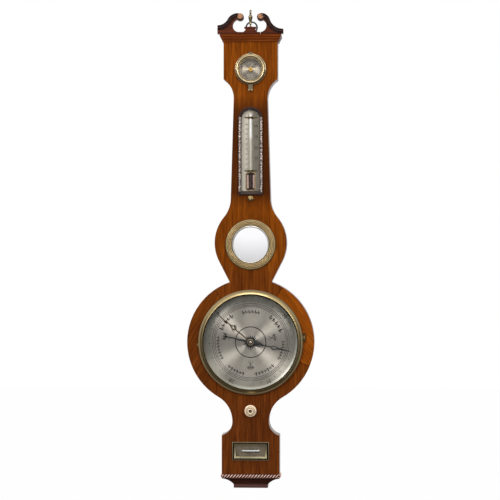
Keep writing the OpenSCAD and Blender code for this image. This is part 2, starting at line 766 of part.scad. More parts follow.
// Hanging plate with two ears and the pin that the ring's shank turns on
hang_pivot_z = -ring_r - 2.2;
hang_knuckle_r = 1.9;
hang_knuckle_half = 3;
hang_pin_r = 0.9;
hang_ear_t = 2.6;
plate_front_y = back_y - 3;
plate_back_y = plate_front_y + 2;
plate_screw_z = [case_top_z - 12, case_top_z - hang_plate_h + 6];

module hanging_plate() {
    inner = hang_knuckle_half + gap;
    outer = inner + hang_ear_t;
    color(brass) {
        difference() {
            block([-hang_plate_w / 2, plate_front_y, case_top_z - hang_plate_h],
                [hang_plate_w / 2, plate_back_y, hang_pivot_z]);
            block([-inner, plate_front_y - 1, hang_pivot_z - hang_knuckle_r - gap],
                [inner, plate_back_y + 1, hang_pivot_z + 1]);
        }
        for (side = [-1, 1]) {
            block([side < 0 ? -outer : inner, 0, hang_pivot_z - hang_knuckle_r],
                [side < 0 ? -inner : outer, plate_back_y, hang_pivot_z]);
            translate([side < 0 ? -outer : inner, 0, hang_pivot_z]) rotate([0, 90, 0])
                cylinder(r = hang_knuckle_r, h = hang_ear_t);
        }
        translate([-inner - 0.5, 0, hang_pivot_z]) rotate([0, 90, 0]) cylinder(r = hang_pin_r, h = 2 * inner + 1);
    }
}

module hanging_ring() {
    shank_hw = 1.6;
    color(blued) difference() {
        union() {
            rotate([90, 0, 0]) rotate_extrude() translate([ring_mean_r, 0]) circle(r = wire_r);
            block([-shank_hw, -wire_r * 0.8, hang_pivot_z], [shank_hw, wire_r * 0.8, -ring_mean_r]);
            translate([-hang_knuckle_half, 0, hang_pivot_z]) rotate([0, 90, 0])
                cylinder(r = hang_knuckle_r, h = 2 * hang_knuckle_half);
        }
        rod_y(ring_mean_r - wire_r * 0.8, -wire_r - 1, wire_r + 1);
        translate([-hang_knuckle_half - 1, 0, hang_pivot_z]) rotate([0, 90, 0])
            cylinder(r = hang_pin_r + run_fit, h = 2 * hang_knuckle_half + 2);
    }
}

// Covers of the tube channel
cover_top_z = channel_top_z + cover_lap;
cover_split_z = dial_z + rebate_r - 1;
cover_low_z = dial_z - rebate_r + 1;
cover_foot_z = channel_foot_z - cover_lap;

// Edge of a cover hollowed to the door's rebate
module channel_cover(z0, z1) {
    color(pine) difference() {
        block([-cover_hw, cover_floor_y, z0], [cover_hw, cover_back_y, z1]);
        rod_y(rebate_r + gap, cover_floor_y - 1, back_y + 1, 0, dial_z);
    }
}

module channel_cover_upper() {
    channel_cover(dial_z + chamber_r, cover_top_z);
}

module channel_cover_lower() {
    channel_cover(cover_foot_z, dial_z - chamber_r);
}

// Screws of the dial plate, the hanging plate and the channel covers
dial_screw_r = (dial_plate_r + view_r) / 2;

module case_screws() {
    color(brass) {
        for (angle = [30, 150, 270])
            screw(dial_screw_r * cos(angle), dial_y, dial_z + dial_screw_r * sin(angle), 1.8);
        for (x = [-1, 1] * hang_plate_w * 0.3, z = plate_screw_z)
            screw(x, plate_back_y, z, 2, 1);
        for (side = [-1, 1], z = [cover_top_z - 8, (cover_top_z + cover_split_z) / 2, cover_split_z + 14,
                cover_low_z - 14, cover_foot_z + 8])
            screw(side * (cover_hw - 2.2), cover_back_y, z, 1.6, 1);
    }
}

// Back door and its hinge
module back_door() {
    color(pine) difference() {
        rod_y(door_r, door_front_y, door_back_y, 0, dial_z);
        block([door_hinge_x, door_front_y - 1, dial_z - hinge_seat_half],
            [door_hinge_x + 3, door_back_y + 1, dial_z + hinge_seat_half]);
        block([door_hinge_x, door_hinge_y - door_leaf_t / 2, dial_z - door_knuckle_half - 0.5],
            [door_hinge_x + door_leaf_w + 1, door_back_y + 1, dial_z + door_knuckle_half + 0.5]);
    }
}

// Knuckle of the door hinge between two heights over the dial's centre
module door_knuckle(z0, z1) {
    translate([door_hinge_x, door_hinge_y, dial_z + z0]) difference() {
        cylinder(r = door_knuckle_r, h = z1 - z0);
        translate([0, 0, -1]) cylinder(r = door_pin_r + run_fit, h = z1 - z0 + 2);
    }
}

// Leaf of the door hinge, from the knuckle to one side
module door_leaf(side, z0, z1) {
    difference() {
        block([side < 0 ? door_hinge_x - door_leaf_w : door_hinge_x, door_hinge_y - door_leaf_t / 2, dial_z + z0],
            [side < 0 ? door_hinge_x : door_hinge_x + door_leaf_w, door_hinge_y + door_leaf_t / 2, dial_z + z1]);
        translate([door_hinge_x, door_hinge_y, dial_z + z0 - 1]) cylinder(r = door_knuckle_r - 0.5, h = z1 - z0 + 2);
    }
}

module door_hinge_case_leaf() {
    color(brass) for (side = [-1, 1]) {
        low = side < 0 ? -door_knuckle_half * 3 : door_knuckle_half + gap;
        high = side < 0 ? -door_knuckle_half - gap : door_knuckle_half * 3;
        door_knuckle(low, high);
        door_leaf(-1, low, high);
    }
}

module door_hinge_door_leaf() {
    color(brass) {
        door_knuckle(-door_knuckle_half, door_knuckle_half);
        door_leaf(1, -door_knuckle_half, door_knuckle_half);
    }
}

module door_hinge_pin() {
    color(brass) translate([door_hinge_x, door_hinge_y, dial_z - door_knuckle_half * 3])
        cylinder(r = door_pin_r, h = door_knuckle_half * 6);
}

module turn_button() {
    color(brass) {
        slab(door_back_y + 0.5, door_back_y + 2.2) {
            translate([button_x - button_r, dial_z - button_reach]) square([2 * button_r, 2 * button_reach]);
            for (side = [-1, 1])
                translate([button_x, dial_z + side * button_reach]) circle(r = button_r);
        }
        rod_y(button_pin_r - run_fit, door_back_y - 8, door_back_y + 0.5, button_x, dial_z);
    }
}

// Hygrometer
hygro_r = hygro_d / 2;
hygro_dial_y = front_y + 1.5;
hygro_hinge_z = hygro_z + hygro_r + 1.6;
hygro_hinge_y = front_y - 3;
hygro_knuckle_r = 1.7;
hygro_knuckle_half = 3.5;
hygro_pin_r = 0.8;
hygro_arbor_r = 1.5;
hygro_wall = 1;
hygro_back_y = front_y - gap;

module hygro_cup() {
    color(brass) difference() {
        rod_y(hygro_cup_r, front_y, front_y + hygro_cup_depth, 0, hygro_z);
        rod_y(hygro_cup_r - hygro_wall, front_y - 1, front_y + hygro_cup_depth - hygro_wall, 0, hygro_z);
        rod_y(hygro_arbor_r + run_fit, front_y, front_y + hygro_cup_depth + 1, 0, hygro_z);
    }
}

module hygro_dial() {
    color(silvered) difference() {
        rod_y(hygro_cup_r - hygro_wall - gap / 3, hygro_dial_y, hygro_dial_y + 1, 0, hygro_z);
        rod_y(hygro_arbor_r + 1, hygro_dial_y - 1, hygro_dial_y + 2, 0, hygro_z);
    }
}

// Double-ended hand on the arbor that the hygroscopic beard turns
module hygro_hand() {
    hand_back_y = hygro_dial_y - 1.2;
    reach = hygro_view_r - 5;
    boss_r = 4;
    root_hw = 1.6;
    color(brass) {
        rod_y(hygro_arbor_r, hand_back_y - 1, front_y + hygro_cup_depth, 0, hygro_z);
        rod_y(boss_r, hand_back_y - 1.4, hand_back_y, 0, hygro_z);
        slab(hand_back_y - hand_t, hand_back_y)
            polygon([[-reach, hygro_z], [-boss_r, hygro_z + root_hw], [boss_r, hygro_z + root_hw], [reach, hygro_z],
                [boss_r, hygro_z - root_hw], [-boss_r, hygro_z - root_hw]]);
    }
}

module hygro_bezel() {
    tab_z = hygro_z - hygro_r - hygro_tab_len + 2;
    color(brass) {
        difference() {
            turned(hygro_back_y, 0, hygro_z)
                polygon([[hygro_view_r + 2.4, 0], [hygro_r, 0], [hygro_r, 1.6], [hygro_r - 1.6, 3], [hygro_r - 3, 3],
                    [hygro_r - 4, 5.4], [hygro_r - 5.6, hygro_h], [hygro_view_r + 1.6, hygro_h], [hygro_view_r, hygro_h - 2],
                    [hygro_view_r, hygro_h - 3.4], [hygro_view_r + 2.4, hygro_h - 3.4]]);
            translate([-8, hygro_hinge_y, hygro_hinge_z]) rotate([0, 90, 0])
                cylinder(r = hygro_knuckle_r * sqrt(2) + gap, h = 16);
        }
        difference() {
            block([-hygro_tab_w / 2, hygro_back_y - 2, tab_z], [hygro_tab_w / 2, hygro_back_y, tab_z + hygro_tab_len]);
            rod_y(2, hygro_back_y - 3, hygro_back_y + 1, 0, tab_z);
        }
        // Moving knuckle with its lug
        difference() {
            union() {
                translate([-hygro_knuckle_half, hygro_hinge_y, hygro_hinge_z]) rotate([0, 90, 0])
                    cylinder(r = hygro_knuckle_r, h = 2 * hygro_knuckle_half);
                block([-hygro_knuckle_half, hygro_hinge_y, hygro_hinge_z - 4.4],
                    [hygro_knuckle_half, hygro_hinge_y + 1.4, hygro_hinge_z]);
            }
            translate([-hygro_knuckle_half - 1, hygro_hinge_y, hygro_hinge_z]) rotate([0, 90, 0])
                cylinder(r = hygro_pin_r + run_fit, h = 2 * hygro_knuckle_half + 2);
        }
    }
}

module hygro_glass() {
    color(clear_glass)
        rod_y(hygro_view_r + 2.2, hygro_back_y - hygro_h + 3.4, hygro_back_y - hygro_h + 5, 0, hygro_z);
}

// Fixed half of the hygrometer's hinge: two ears on the case and their pin
module hygro_hinge() {
    color(brass) {
        for (side = [-1, 1]) {
            inner = hygro_knuckle_half + gap;
            outer = inner + 2.6;
            block([side < 0 ? -outer : inner, hygro_hinge_y - hygro_knuckle_r, hygro_hinge_z - hygro_knuckle_r],
                [side < 0 ? -inner : outer, front_y, hygro_hinge_z + hygro_knuckle_r]);
        }
        translate([-hygro_knuckle_half - 0.5, hygro_hinge_y, hygro_hinge_z]) rotate([0, 90, 0])
            cylinder(r = hygro_pin_r, h = 2 * hygro_knuckle_half + 1);
    }
}

// Thermometer box that lifts out of the front
thermo_back_y = front_y + thermo_depth;
thermo_front_y = front_y - thermo_out;
thermo_plate_y = front_y + 6.5;
thermo_plate_t = 1.2;
thermo_stem_y = thermo_plate_y - thermo_stem_d / 2 - 0.2;
thermo_stem_top_z = thermo_top_z - 18.5;
thermo_stem_foot_z = thermo_foot_z + bulb_window_rise + bulb_window_h + 3.2;
thermo_bulb_r = thermo_stem_d / 2 - 0.1;
thermo_bulb_z = thermo_foot_z + bulb_window_rise + thermo_bulb_r + 2;
thermo_bulb_top_z = thermo_bulb_z + bulb_window_h * 0.6;
thermo_pane_t = 2.5;

module thermo_box() {
    floor_t = 2;
    color(dark_mahogany) difference() {
        slab(thermo_front_y, thermo_back_y) thermo_outline();
        slab(thermo_front_y - 1, thermo_back_y - floor_t) thermo_outline(-thermo_wall);
        slab(thermo_front_y - 1, thermo_front_y + thermo_pane_t) thermo_outline(-thermo_wall / 2);
    }
}

module thermo_plate() {
    color(silvered) difference() {
        slab(thermo_plate_y, thermo_plate_y + thermo_plate_t) thermo_outline(-thermo_wall - gap / 3);
        slab(thermo_plate_y - 1, thermo_plate_y + thermo_plate_t + 1) bulb_window();
    }
    // Two distance battens behind the scale
    color(silvered) for (side = [-1, 1])
        block([side < 0 ? -16 : 13, thermo_plate_y + thermo_plate_t, thermo_foot_z + 12],
            [side < 0 ? -13 : 16, thermo_back_y - 2, thermo_top_z - 40]);
}

// Round-cornered window round the thermometer's bulb, grown by a rim
module bulb_window(rim = 0) {
    hw = bulb_window_w / 2;
    r = bulb_window_r;
    low_z = thermo_foot_z + bulb_window_rise;
    high_z = low_z + bulb_window_h;
    translate([-hw - rim, low_z + r]) square([2 * hw + 2 * rim, bulb_window_h - 2 * r]);
    translate([-hw + r, low_z - rim]) square([2 * hw - 2 * r, bulb_window_h + 2 * rim]);
    for (x = [-hw + r, hw - r], z = [low_z + r, high_z - r])
        translate([x, z]) circle(r = r + rim);
}

module thermo_tube() {
    color(clear_glass) {
        translate([0, thermo_stem_y, thermo_stem_foot_z])
            cylinder(r = thermo_stem_d / 2, h = thermo_stem_top_z - thermo_stem_foot_z);
        translate([0, thermo_stem_y, thermo_stem_top_z]) sphere(r = thermo_stem_d / 2);
        translate([0, thermo_stem_y, thermo_bulb_z]) cylinder(r = 2, h = thermo_stem_foot_z - thermo_bulb_z);
        translate([0, thermo_stem_y, thermo_bulb_z]) cylinder(r = thermo_bulb_r, h = thermo_bulb_top_z - thermo_bulb_z);
        for (z = [thermo_bulb_z, thermo_bulb_top_z])
            translate([0, thermo_stem_y, z]) sphere(r = thermo_bulb_r);
    }
}

module thermo_clips() {
    hw = 14;
    r = thermo_stem_d / 2;
    color(brass) for (z = [thermo_stem_top_z - 4, thermo_stem_foot_z + 1]) {
        difference() {
            union() {
                block([-hw, thermo_plate_y - 0.8, z - 2], [hw, thermo_plate_y, z + 2]);
                translate([0, thermo_stem_y, z - 2]) cylinder(r = r + 0.9, h = 4);
            }
            translate([0, thermo_stem_y, z - 3]) cylinder(r = r + 0.1, h = 6);
            block([-hw, thermo_plate_y, z - 3], [hw, thermo_plate_y + r, z + 3]);
        }
    }
}

module thermo_bulb_guard() {
    color(silvered) difference() {
        slab(thermo_plate_y - 1.2, thermo_plate_y) bulb_window(2);
        slab(thermo_plate_y - 2, thermo_plate_y + 1) bulb_window();
    }
}

module thermo_glass() {
    color(clear_glass)
        slab(thermo_front_y + 0.2, thermo_front_y + thermo_pane_t) thermo_outline(-thermo_wall / 2 - gap / 3);
}

module thermo_knob() {
    r = thermo_knob_d / 2;
    color(brass) {
        turned(front_y - gap, 0, thermo_knob_z)
            polygon([[0, 0], [r, 0], [r, 1.2], [r * 0.7, 2], [r * 0.45, 3.2], [r * 0.55, 4.6], [r * 0.86, 5.6],
                [r * 0.86, 7.2], [r * 0.55, 8.6], [0, 9]]);
        rod_y(thermo_shaft_r, front_y - gap - 1, front_y + thermo_shaft_depth, 0, thermo_knob_z);
    }
}

// Convex mirror
mirror_r = mirror_d / 2;
mirror_view_r = mirror_view_d / 2;
mirror_glass_r = mirror_view_r + 4;
mirror_floor_y = front_y + mirror_seat_depth;
mirror_board_t = 3;
mirror_rim_y = mirror_floor_y - mirror_board_t - 2;
mirror_ball_r = (pow(mirror_view_r, 2) + pow(mirror_rise, 2)) / (2 * mirror_rise);

module mirror_backboard() {
    color(pine) rod_y(mirror_glass_r, mirror_floor_y - mirror_board_t, mirror_floor_y, 0, mirror_z);
}

module mirror_glass() {
    color("gainsboro") {
        rod_y(mirror_glass_r, mirror_rim_y, mirror_floor_y - mirror_board_t, 0, mirror_z);
        intersection() {
            translate([0, mirror_rim_y - mirror_rise + mirror_ball_r, mirror_z]) sphere(r = mirror_ball_r, $fn = 240);
            rod_y(mirror_view_r + 1, mirror_rim_y - mirror_rise - 1, mirror_rim_y, 0, mirror_z);
        }
    }
}

module mirror_bezel() {
    reed_w = (mirror_r - mirror_view_r - 4) / mirror_reeds;
    reed_r = reed_w / 2;
    body_h = 3;
    color(brass) difference() {
        turned(front_y, 0, mirror_z) {
            translate([mirror_view_r + 1.6, 0]) square([mirror_r - mirror_view_r - 1.6, body_h]);
            for (i = [0:mirror_reeds - 1])
                translate([mirror_r - 2 - reed_w * (i + 0.5), body_h]) circle(r = reed_r);
            translate([mirror_view_r + 1.6, body_h]) circle(r = 1.6);
            translate([mirror_r - 2, 0]) square([2, body_h - 1]);
        }
        rod_y(mirror_glass_r + gap, front_y - 1.2, front_y + 5, 0, mirror_z);
    }
}

// Weather dial
module dial_plate() {
    color(silvered) difference() {
        rod_y(dial_plate_r, dial_y, dial_back_y, 0, dial_z);
        rod_y(pipe_d / 2 + run_fit, dial_y - 1, dial_back_y + 1, 0, dial_z);
    }
}

bezel_hinge_x = bezel_r + 2.4;
bezel_hinge_y = front_y - 3.6;
bezel_hinge_z = dial_z + 11;
bezel_knuckle_r = 2.2;
bezel_pin_r = 1;
bezel_knuckle_half = 3;

module bezel() {
    h = bezel_h;
    color(brass) {
        turned(bezel_back_y, 0, dial_z) difference() {
            union() {
                polygon([[view_r + 2.6, 0], [bezel_r, 0], [bezel_r, 2.4], [bezel_r - bezel_rim * 0.12, 3.2],
                    [bezel_r - bezel_rim * 0.12, 4], [bezel_r - bezel_rim * 0.3, 4.6], [bezel_r - bezel_rim * 0.3, h], [view_r + 2, h],
                    [view_r, h - 3], [view_r, h - 4.4], [view_r + 2.6, h - 4.4]]);
                translate([bezel_r - bezel_rim * 0.3, 6.6]) circle(r = 2);
            }
            translate([bezel_r - bezel_rim * 0.3 + 1.5, h]) circle(r = 3);
        }
        // Lug and middle knuckle of the hinge
        difference() {
            union() {
                translate([bezel_hinge_x, bezel_hinge_y, bezel_hinge_z - bezel_knuckle_half])
                    cylinder(r = bezel_knuckle_r, h = 2 * bezel_knuckle_half);
                block([bezel_r - 2.6, bezel_hinge_y, bezel_hinge_z - bezel_knuckle_half],
                    [bezel_hinge_x, bezel_hinge_y + 1.8, bezel_hinge_z + bezel_knuckle_half]);
            }
            translate([bezel_hinge_x, bezel_hinge_y, bezel_hinge_z - 5]) cylinder(r = bezel_pin_r + run_fit, h = 10);
        }
        // Nib on the left that the finger lifts
        block([-bezel_r - 2.6, bezel_back_y - 2.2, dial_z - 7.5], [-bezel_r + 1.5, bezel_back_y, dial_z - 2.5]);
    }
}

module dial_glass() {
    color(clear_glass) rod_y(view_r + 2.3, glass_front_y, glass_back_y, 0, dial_z);
}

module bezel_hinge_leaf() {
    color(brass) for (side = [-1, 1]) {
        low = side < 0 ? -3 * bezel_knuckle_half : bezel_knuckle_half + gap;
        high = side < 0 ? -bezel_knuckle_half - gap : 3 * bezel_knuckle_half;
        difference() {
            union() {
                translate([bezel_hinge_x, bezel_hinge_y, bezel_hinge_z + low])
                    cylinder(r = bezel_knuckle_r, h = high - low);
                block([bezel_hinge_x, bezel_hinge_y + 1, bezel_hinge_z + low],
                    [bezel_hinge_x + bezel_knuckle_r, front_y, bezel_hinge_z + high]);
            }
            translate([bezel_hinge_x, bezel_hinge_y, bezel_hinge_z - 12]) cylinder(r = bezel_pin_r + run_fit, h = 24);
        }
    }
}

module bezel_hinge_pin() {
    color(brass) translate([bezel_hinge_x, bezel_hinge_y, bezel_hinge_z - 3 * bezel_knuckle_half])
        cylinder(r = bezel_pin_r, h = 6 * bezel_knuckle_half);
}

// Movement: bridge on the back of the dial, pointer with its pulley, set hand on its pipe
arbor_r = arbor_d / 2;
bridge_hw = 36;
bridge_h = 12;
bridge_back_y = bridge_rear_y + bridge_bar_t;

module movement_bridge() {
    pillar_w = 5;
    color(brass) difference() {
        union() {
            for (side = [-1, 1]) {
                x = side < 0 ? -bridge_hw : bridge_hw - pillar_w;
                block([x, dial_back_y, dial_z - bridge_h / 2], [x + pillar_w, bridge_back_y, dial_z + bridge_h / 2]);
            }
            for (y = [bridge_mid_y, bridge_rear_y])
                block([-bridge_hw, y, dial_z - bridge_h / 2], [bridge_hw, y + bridge_bar_t, dial_z + bridge_h / 2]);
        }
        rod_y(arbor_r + run_fit, bridge_mid_y - 1, bridge_back_y + 1, 0, dial_z);
    }
}

// Grooved pulley about an axis along Y
module pulley(rim_r, groove_r, y, t, z) {
    turned(y + t, 0, z)
        polygon([[0, 0], [rim_r, 0], [rim_r, t * 0.15], [groove_r, t * 0.35], [groove_r, t * 0.65],
            [rim_r, t * 0.85], [rim_r, t], [0, t]]);
}

thread_pulley_t = 5;

module pointer_arbor() {
    groove_r = thread_r - thread_d / 2 - 0.15;
    color(brass) {
        rod_y(arbor_r, hand_front_y, bridge_back_y, 0, dial_z);
        pulley(thread_r + 2, groove_r, tube_y - thread_pulley_t / 2, thread_pulley_t, dial_z);
    }
}

// Hand about the dial's centre, pointing up before it is turned: an open lozenge and a tail
module hand_form(y, angle, len, tail, hub_r) {
    eye = len * 0.22;
    eye_hw = 4.4;
    translate([0, 0, dial_z]) rotate([0, angle, 0]) difference() {
        union() {
            rod_y(hub_r, y - hand_t, y);
            slab(y - hand_t, y) mirrored_outline([[0.5, len], [1.2, eye + 16], [eye_hw, eye + 6], [1.3, eye], [1.3, 0],
                [1, -tail]]);
            children();
        }
        slab(y - hand_t - 1, y + 1) mirrored_outline([[0.1, eye + 13], [eye_hw - 1.6, eye + 6], [0.1, eye + 1.6]]);
    }
}

// Crescent at the end of the blued hand's tail
module tail_crescent() {
    r = 6;
    difference() {
        rod_y(r, hand_y - hand_t, hand_y, 0, r - hand_tail);
        rod_y(r - 1, hand_y - hand_t - 1, hand_y + 1, 0, r - hand_tail - 2.6);
    }
}

module pointer_hand() {
    color(blued) difference() {
        union() {
            hand_form(hand_y, hand_angle, hand_len, hand_tail - 9, 5) tail_crescent();
            rod_y(3.4, hand_front_y - 0.6, hand_y, 0, dial_z);
        }
        rod_y(arbor_r + run_fit, hand_front_y, hand_y + 1, 0, dial_z);
    }
}

pipe_r = pipe_d / 2;

module set_hand_pipe() {
    color(brass) difference() {
        union() {
            rod_y(pipe_r, set_hand_front_y, bridge_mid_y - 0.4, 0, dial_z);
            pulley(set_cord_r + 1.6, set_cord_r - set_cord_d / 2 - 0.15, set_pulley_y, set_pulley_t, dial_z);
        }
        rod_y(arbor_r + run_fit, set_hand_front_y - 1, bridge_mid_y + 1, 0, dial_z);
    }
}

module set_hand() {
    color(brass) difference() {
        hand_form(set_hand_y, set_hand_angle, set_hand_len, set_hand_tail, pipe_r + 1.4);
        rod_y(pipe_r + run_fit, set_hand_front_y - 1, set_hand_y + 1, 0, dial_z);
    }
}

// Turned knob with its spindle and pulley
module set_knob() {
    r = set_knob_d / 2;
    h = set_knob_h;
    spindle_r = set_spindle_d / 2;
    color(bone) {
        turned(front_y - gap, 0, set_knob_z)
            polygon([[0, 0], [r * 0.8, 0], [r, h * 0.12], [r, h * 0.24], [r * 0.86, h * 0.34], [r * 0.72, h * 0.36],
                [r * 0.6, h * 0.46], [r * 0.6, h * 0.58], [r * 0.66, h * 0.66], [r * 0.6, h * 0.84], [r * 0.4, h * 0.95],
                [r * 0.18, h], [0, h * 0.94]]);
        rod_y(spindle_r, front_y - gap - 1, set_pulley_y + set_pulley_t + 3, 0, set_knob_z);
        pulley(set_cord_r + 1.6, set_cord_r - set_cord_d / 2 - 0.15, set_pulley_y, set_pulley_t, set_knob_z);
    }
}

module set_knob_bush() {
    color(brass) difference() {
        rod_y(bush_r, front_y, set_pulley_y - 1, 0, set_knob_z);
        rod_y(set_spindle_d / 2 + run_fit, front_y - 1, set_pulley_y, 0, set_knob_z);
    }
}

// Endless cord between the two set pulleys
module set_cord() {
    cord_y = set_pulley_y + set_pulley_t / 2;
    r = set_cord_d / 2;
    color("khaki") {
        for (side = [-1, 1])
            translate([side * set_cord_r, cord_y, set_knob_z]) cylinder(r = r, h = dial_z - set_knob_z);
        translate([0, cord_y, dial_z]) rotate([90, 0, 0]) rotate_extrude(angle = 180)
            translate([set_cord_r, 0]) circle(r = r);
        translate([0, cord_y, set_knob_z]) rotate([90, 0, 0]) rotate([0, 0, 180]) rotate_extrude(angle = 180)
            translate([set_cord_r, 0]) circle(r = r);
    }
}

// Spirit level: bevelled frame, plate with a window and the vial behind it
level_plate_y = front_y + 1.5;
level_plate_t = 1.2;
vial_r = vial_d / 2;

// Rectangular slab with sloping edges, standing forward from plane y
module bevelled(w, h, slope, y, t) {
    intersection() {
        translate([0, 0, level_z - h / 2]) linear_extrude(h)
            polygon([[-w / 2, y], [w / 2, y], [w / 2 - slope, y - t], [slope - w / 2, y - t]]);
        translate([-w / 2, 0, level_z]) rotate([90, 0, 90]) linear_extrude(w)
            polygon([[y, -h / 2], [y, h / 2], [y - t, h / 2 - slope], [y - t, slope - h / 2]]);
    }
}

module level_frame() {
    color(brass) difference() {
        union() {
            bevelled(level_w, level_h, 1.6, front_y, 2.4);
            bevelled(level_w - 9, level_h - 9, 2.6, front_y, 5);
        }
        block([-level_view_w / 2, front_y - 6, level_z - level_view_h / 2],
            [level_view_w / 2, front_y + 1, level_z + level_view_h / 2]);
    }
}

module level_plate() {
    slot_hw = vial_len / 2 - 4;
    slot_h = vial_d - 2;
    color(silvered) difference() {
        block([-level_view_w / 2 - 2.5, level_plate_y, level_z - level_view_h / 2 - 2.5],
            [level_view_w / 2 + 2.5, level_plate_y + level_plate_t, level_z + level_view_h / 2 + 2.5]);
        block([-slot_hw, level_plate_y - 1, level_z - slot_h / 2], [slot_hw, level_plate_y + 3, level_z + slot_h / 2]);
    }
    // Lugs that carry the vial's ends
    color(silvered) for (side = [-1, 1]) {
        x = side < 0 ? -vial_len / 2 : vial_len / 2 - 3;
        difference() {
            block([x, level_plate_y + level_plate_t, level_z - vial_r - 1.5],
                [x + 3, level_plate_y + level_plate_t + vial_d + 0.5, level_z + vial_r + 1.5]);
            translate([x - 1, level_plate_y + level_plate_t + vial_r, level_z]) rotate([0, 90, 0])
                cylinder(r = vial_r + gap / 3, h = 5);
        }
    }
}

module level_vial() {
    color(clear_glass) translate([-vial_len / 2, level_plate_y + level_plate_t + vial_r, level_z]) rotate([0, 90, 0])
        cylinder(r = vial_r, h = vial_len);
}

// Inside or outside of the siphon: long limb, bend and float limb, with a wide top chamber
chamber_wide_r = tube_r + 1.2;
chamber_foot_z = tube_top_z - 30;
taper = 8;

module siphon_form(r, wide_r, limb_r, top_z, limb_end_z) {
    translate([long_limb_x, tube_y, bend_z]) cylinder(r = r, h = chamber_foot_z - taper - bend_z);
    translate([long_limb_x, tube_y, chamber_foot_z - taper]) cylinder(r1 = r, r2 = wide_r, h = taper);
    translate([long_limb_x, tube_y, chamber_foot_z]) cylinder(r = wide_r, h = top_z - chamber_foot_z);
    translate([bend_x, tube_y, bend_z]) rotate([90, 0, 0]) rotate([0, 0, 180]) rotate_extrude(angle = 180)
        translate([bend_r, 0]) circle(r = r);
    translate([thread_r, tube_y, bend_z]) cylinder(r = r, h = limb_foot_z - bend_z - taper);
    translate([thread_r, tube_y, limb_foot_z - taper]) cylinder(r1 = r, r2 = limb_r, h = taper);
    translate([thread_r, tube_y, limb_foot_z]) cylinder(r = limb_r, h = limb_end_z - limb_foot_z);
}

tube_wall = 1.2;

module siphon_tube() {
    color(clear_glass) difference() {
        siphon_form(tube_r, chamber_wide_r, limb_r, tube_top_z, limb_top_z);
        siphon_form(bore_r, chamber_wide_r - tube_wall, limb_bore_r, tube_top_z - tube_wall, limb_top_z + 1);
    }
}

module mercury() {
    slack = 0.1;
    color("silver") siphon_form(bore_r - slack, chamber_wide_r - tube_wall - slack, limb_bore_r - slack,
        column_top_z, mercury_low_z);
}

// Blocks glued in the channel, with brass straps and screws over the tubes
strap_t = 1;
strap_h = 10;
strap_reach = 11;
strap_z = [neck_top_z - 20, neck_foot_z - 40, bulge_z - 60];
low_strap_z = limb_foot_z + 10;

// Block with grooves and a strap that bows over each tube; tubes lists [x, radius]
module tube_mounting(z, x0, x1, tubes) {
    difference() {
        block([x0, channel_y, z], [x1, tube_y, z + strap_h]);
        for (tube = tubes)
            translate([tube[0], tube_y, z - 1]) cylinder(r = tube[1] + gap, h = strap_h + 2);
    }
    difference() {
        union() {
            block([x0, tube_y, z], [x1, tube_y + strap_t, z + strap_h]);
            for (tube = tubes)
                translate([tube[0], tube_y, z]) cylinder(r = tube[1] + gap + strap_t, h = strap_h);
        }
        for (tube = tubes)
            translate([tube[0], tube_y, z - 1]) cylinder(r = tube[1] + gap, h = strap_h + 2);
        block([x0 - strap_h, tube_y - channel_depth, z - 1], [x1 + strap_h, tube_y, z + strap_h + 1]);
    }
    for (x = [x0 + 2, x1 - 2])
        screw(x, tube_y + strap_t, z + strap_h / 2, 1.4, 1);
}

weight_tube_r = float_r + 1.7;

module tube_mountings() {
    color(brass) {
        for (z = strap_z)
            tube_mounting(z, long_limb_x - strap_reach, channel_hw, [[long_limb_x, tube_r]]);
        tube_mounting(low_strap_z, -channel_hw, channel_hw,
            [[-thread_r, weight_tube_r], [thread_r, limb_r], [long_limb_x, tube_r]]);
    }
}

module counterweight_tube() {
    z0 = low_strap_z - 4;
    color(clear_glass) translate([-thread_r, tube_y, z0]) difference() {
        cylinder(r = weight_tube_r, h = limb_top_z - z0);
        translate([0, 0, 2]) cylinder(r = weight_tube_r - 1, h = limb_top_z - z0);
    }
}

// Thread from the float over the pulley to the counterweight
module float_thread() {
    r = thread_d / 2;
    color("ivory") {
        translate([thread_r, tube_y, float_z + float_len]) cylinder(r = r, h = dial_z - float_z - float_len);
        translate([-thread_r, tube_y, weight_z]) cylinder(r = r, h = dial_z - weight_z);
        translate([0, tube_y, dial_z]) rotate([90, 0, 0]) rotate_extrude(angle = 180)
            translate([thread_r, 0]) circle(r = r);
    }
}

module float() {
    color(clear_glass) translate([thread_r, tube_y, float_z]) cylinder(r = float_r, h = float_len);
}

module counterweight() {
    color(clear_glass) translate([-thread_r, tube_y, weight_z - float_len]) cylinder(r = float_r, h = float_len);
}

carcass();
front_veneer();
pediment_board();
swan_mouldings();
scroll_rosettes();
finial_plinth();
finial();
cornice();
rope_moulding();
base_cove();
base_plinth();
hanging_plate();
hanging_ring();
channel_cover_upper();
channel_cover_lower();
case_screws();
back_door();
door_hinge_case_leaf();
door_hinge_door_leaf();
door_hinge_pin();
turn_button();
hygro_cup();
hygro_dial();
hygro_hand();
hygro_bezel();
hygro_glass();
hygro_hinge();
thermo_box();
thermo_plate();
thermo_tube();
thermo_clips();
thermo_bulb_guard();
thermo_glass();
thermo_knob();
mirror_backboard();
mirror_glass();
mirror_bezel();
dial_plate();
bezel();
dial_glass();
bezel_hinge_leaf();
bezel_hinge_pin();
movement_bridge();
pointer_arbor();
pointer_hand();
set_hand_pipe();
set_hand();
set_knob();
set_knob_bush();
set_cord();
level_frame();
level_plate();
level_vial();
siphon_tube();
mercury();
tube_mountings();
counterweight_tube();
float_thread();
float();
counterweight();
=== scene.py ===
"""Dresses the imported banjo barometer: detailed pieces, materials, light and camera."""
import math

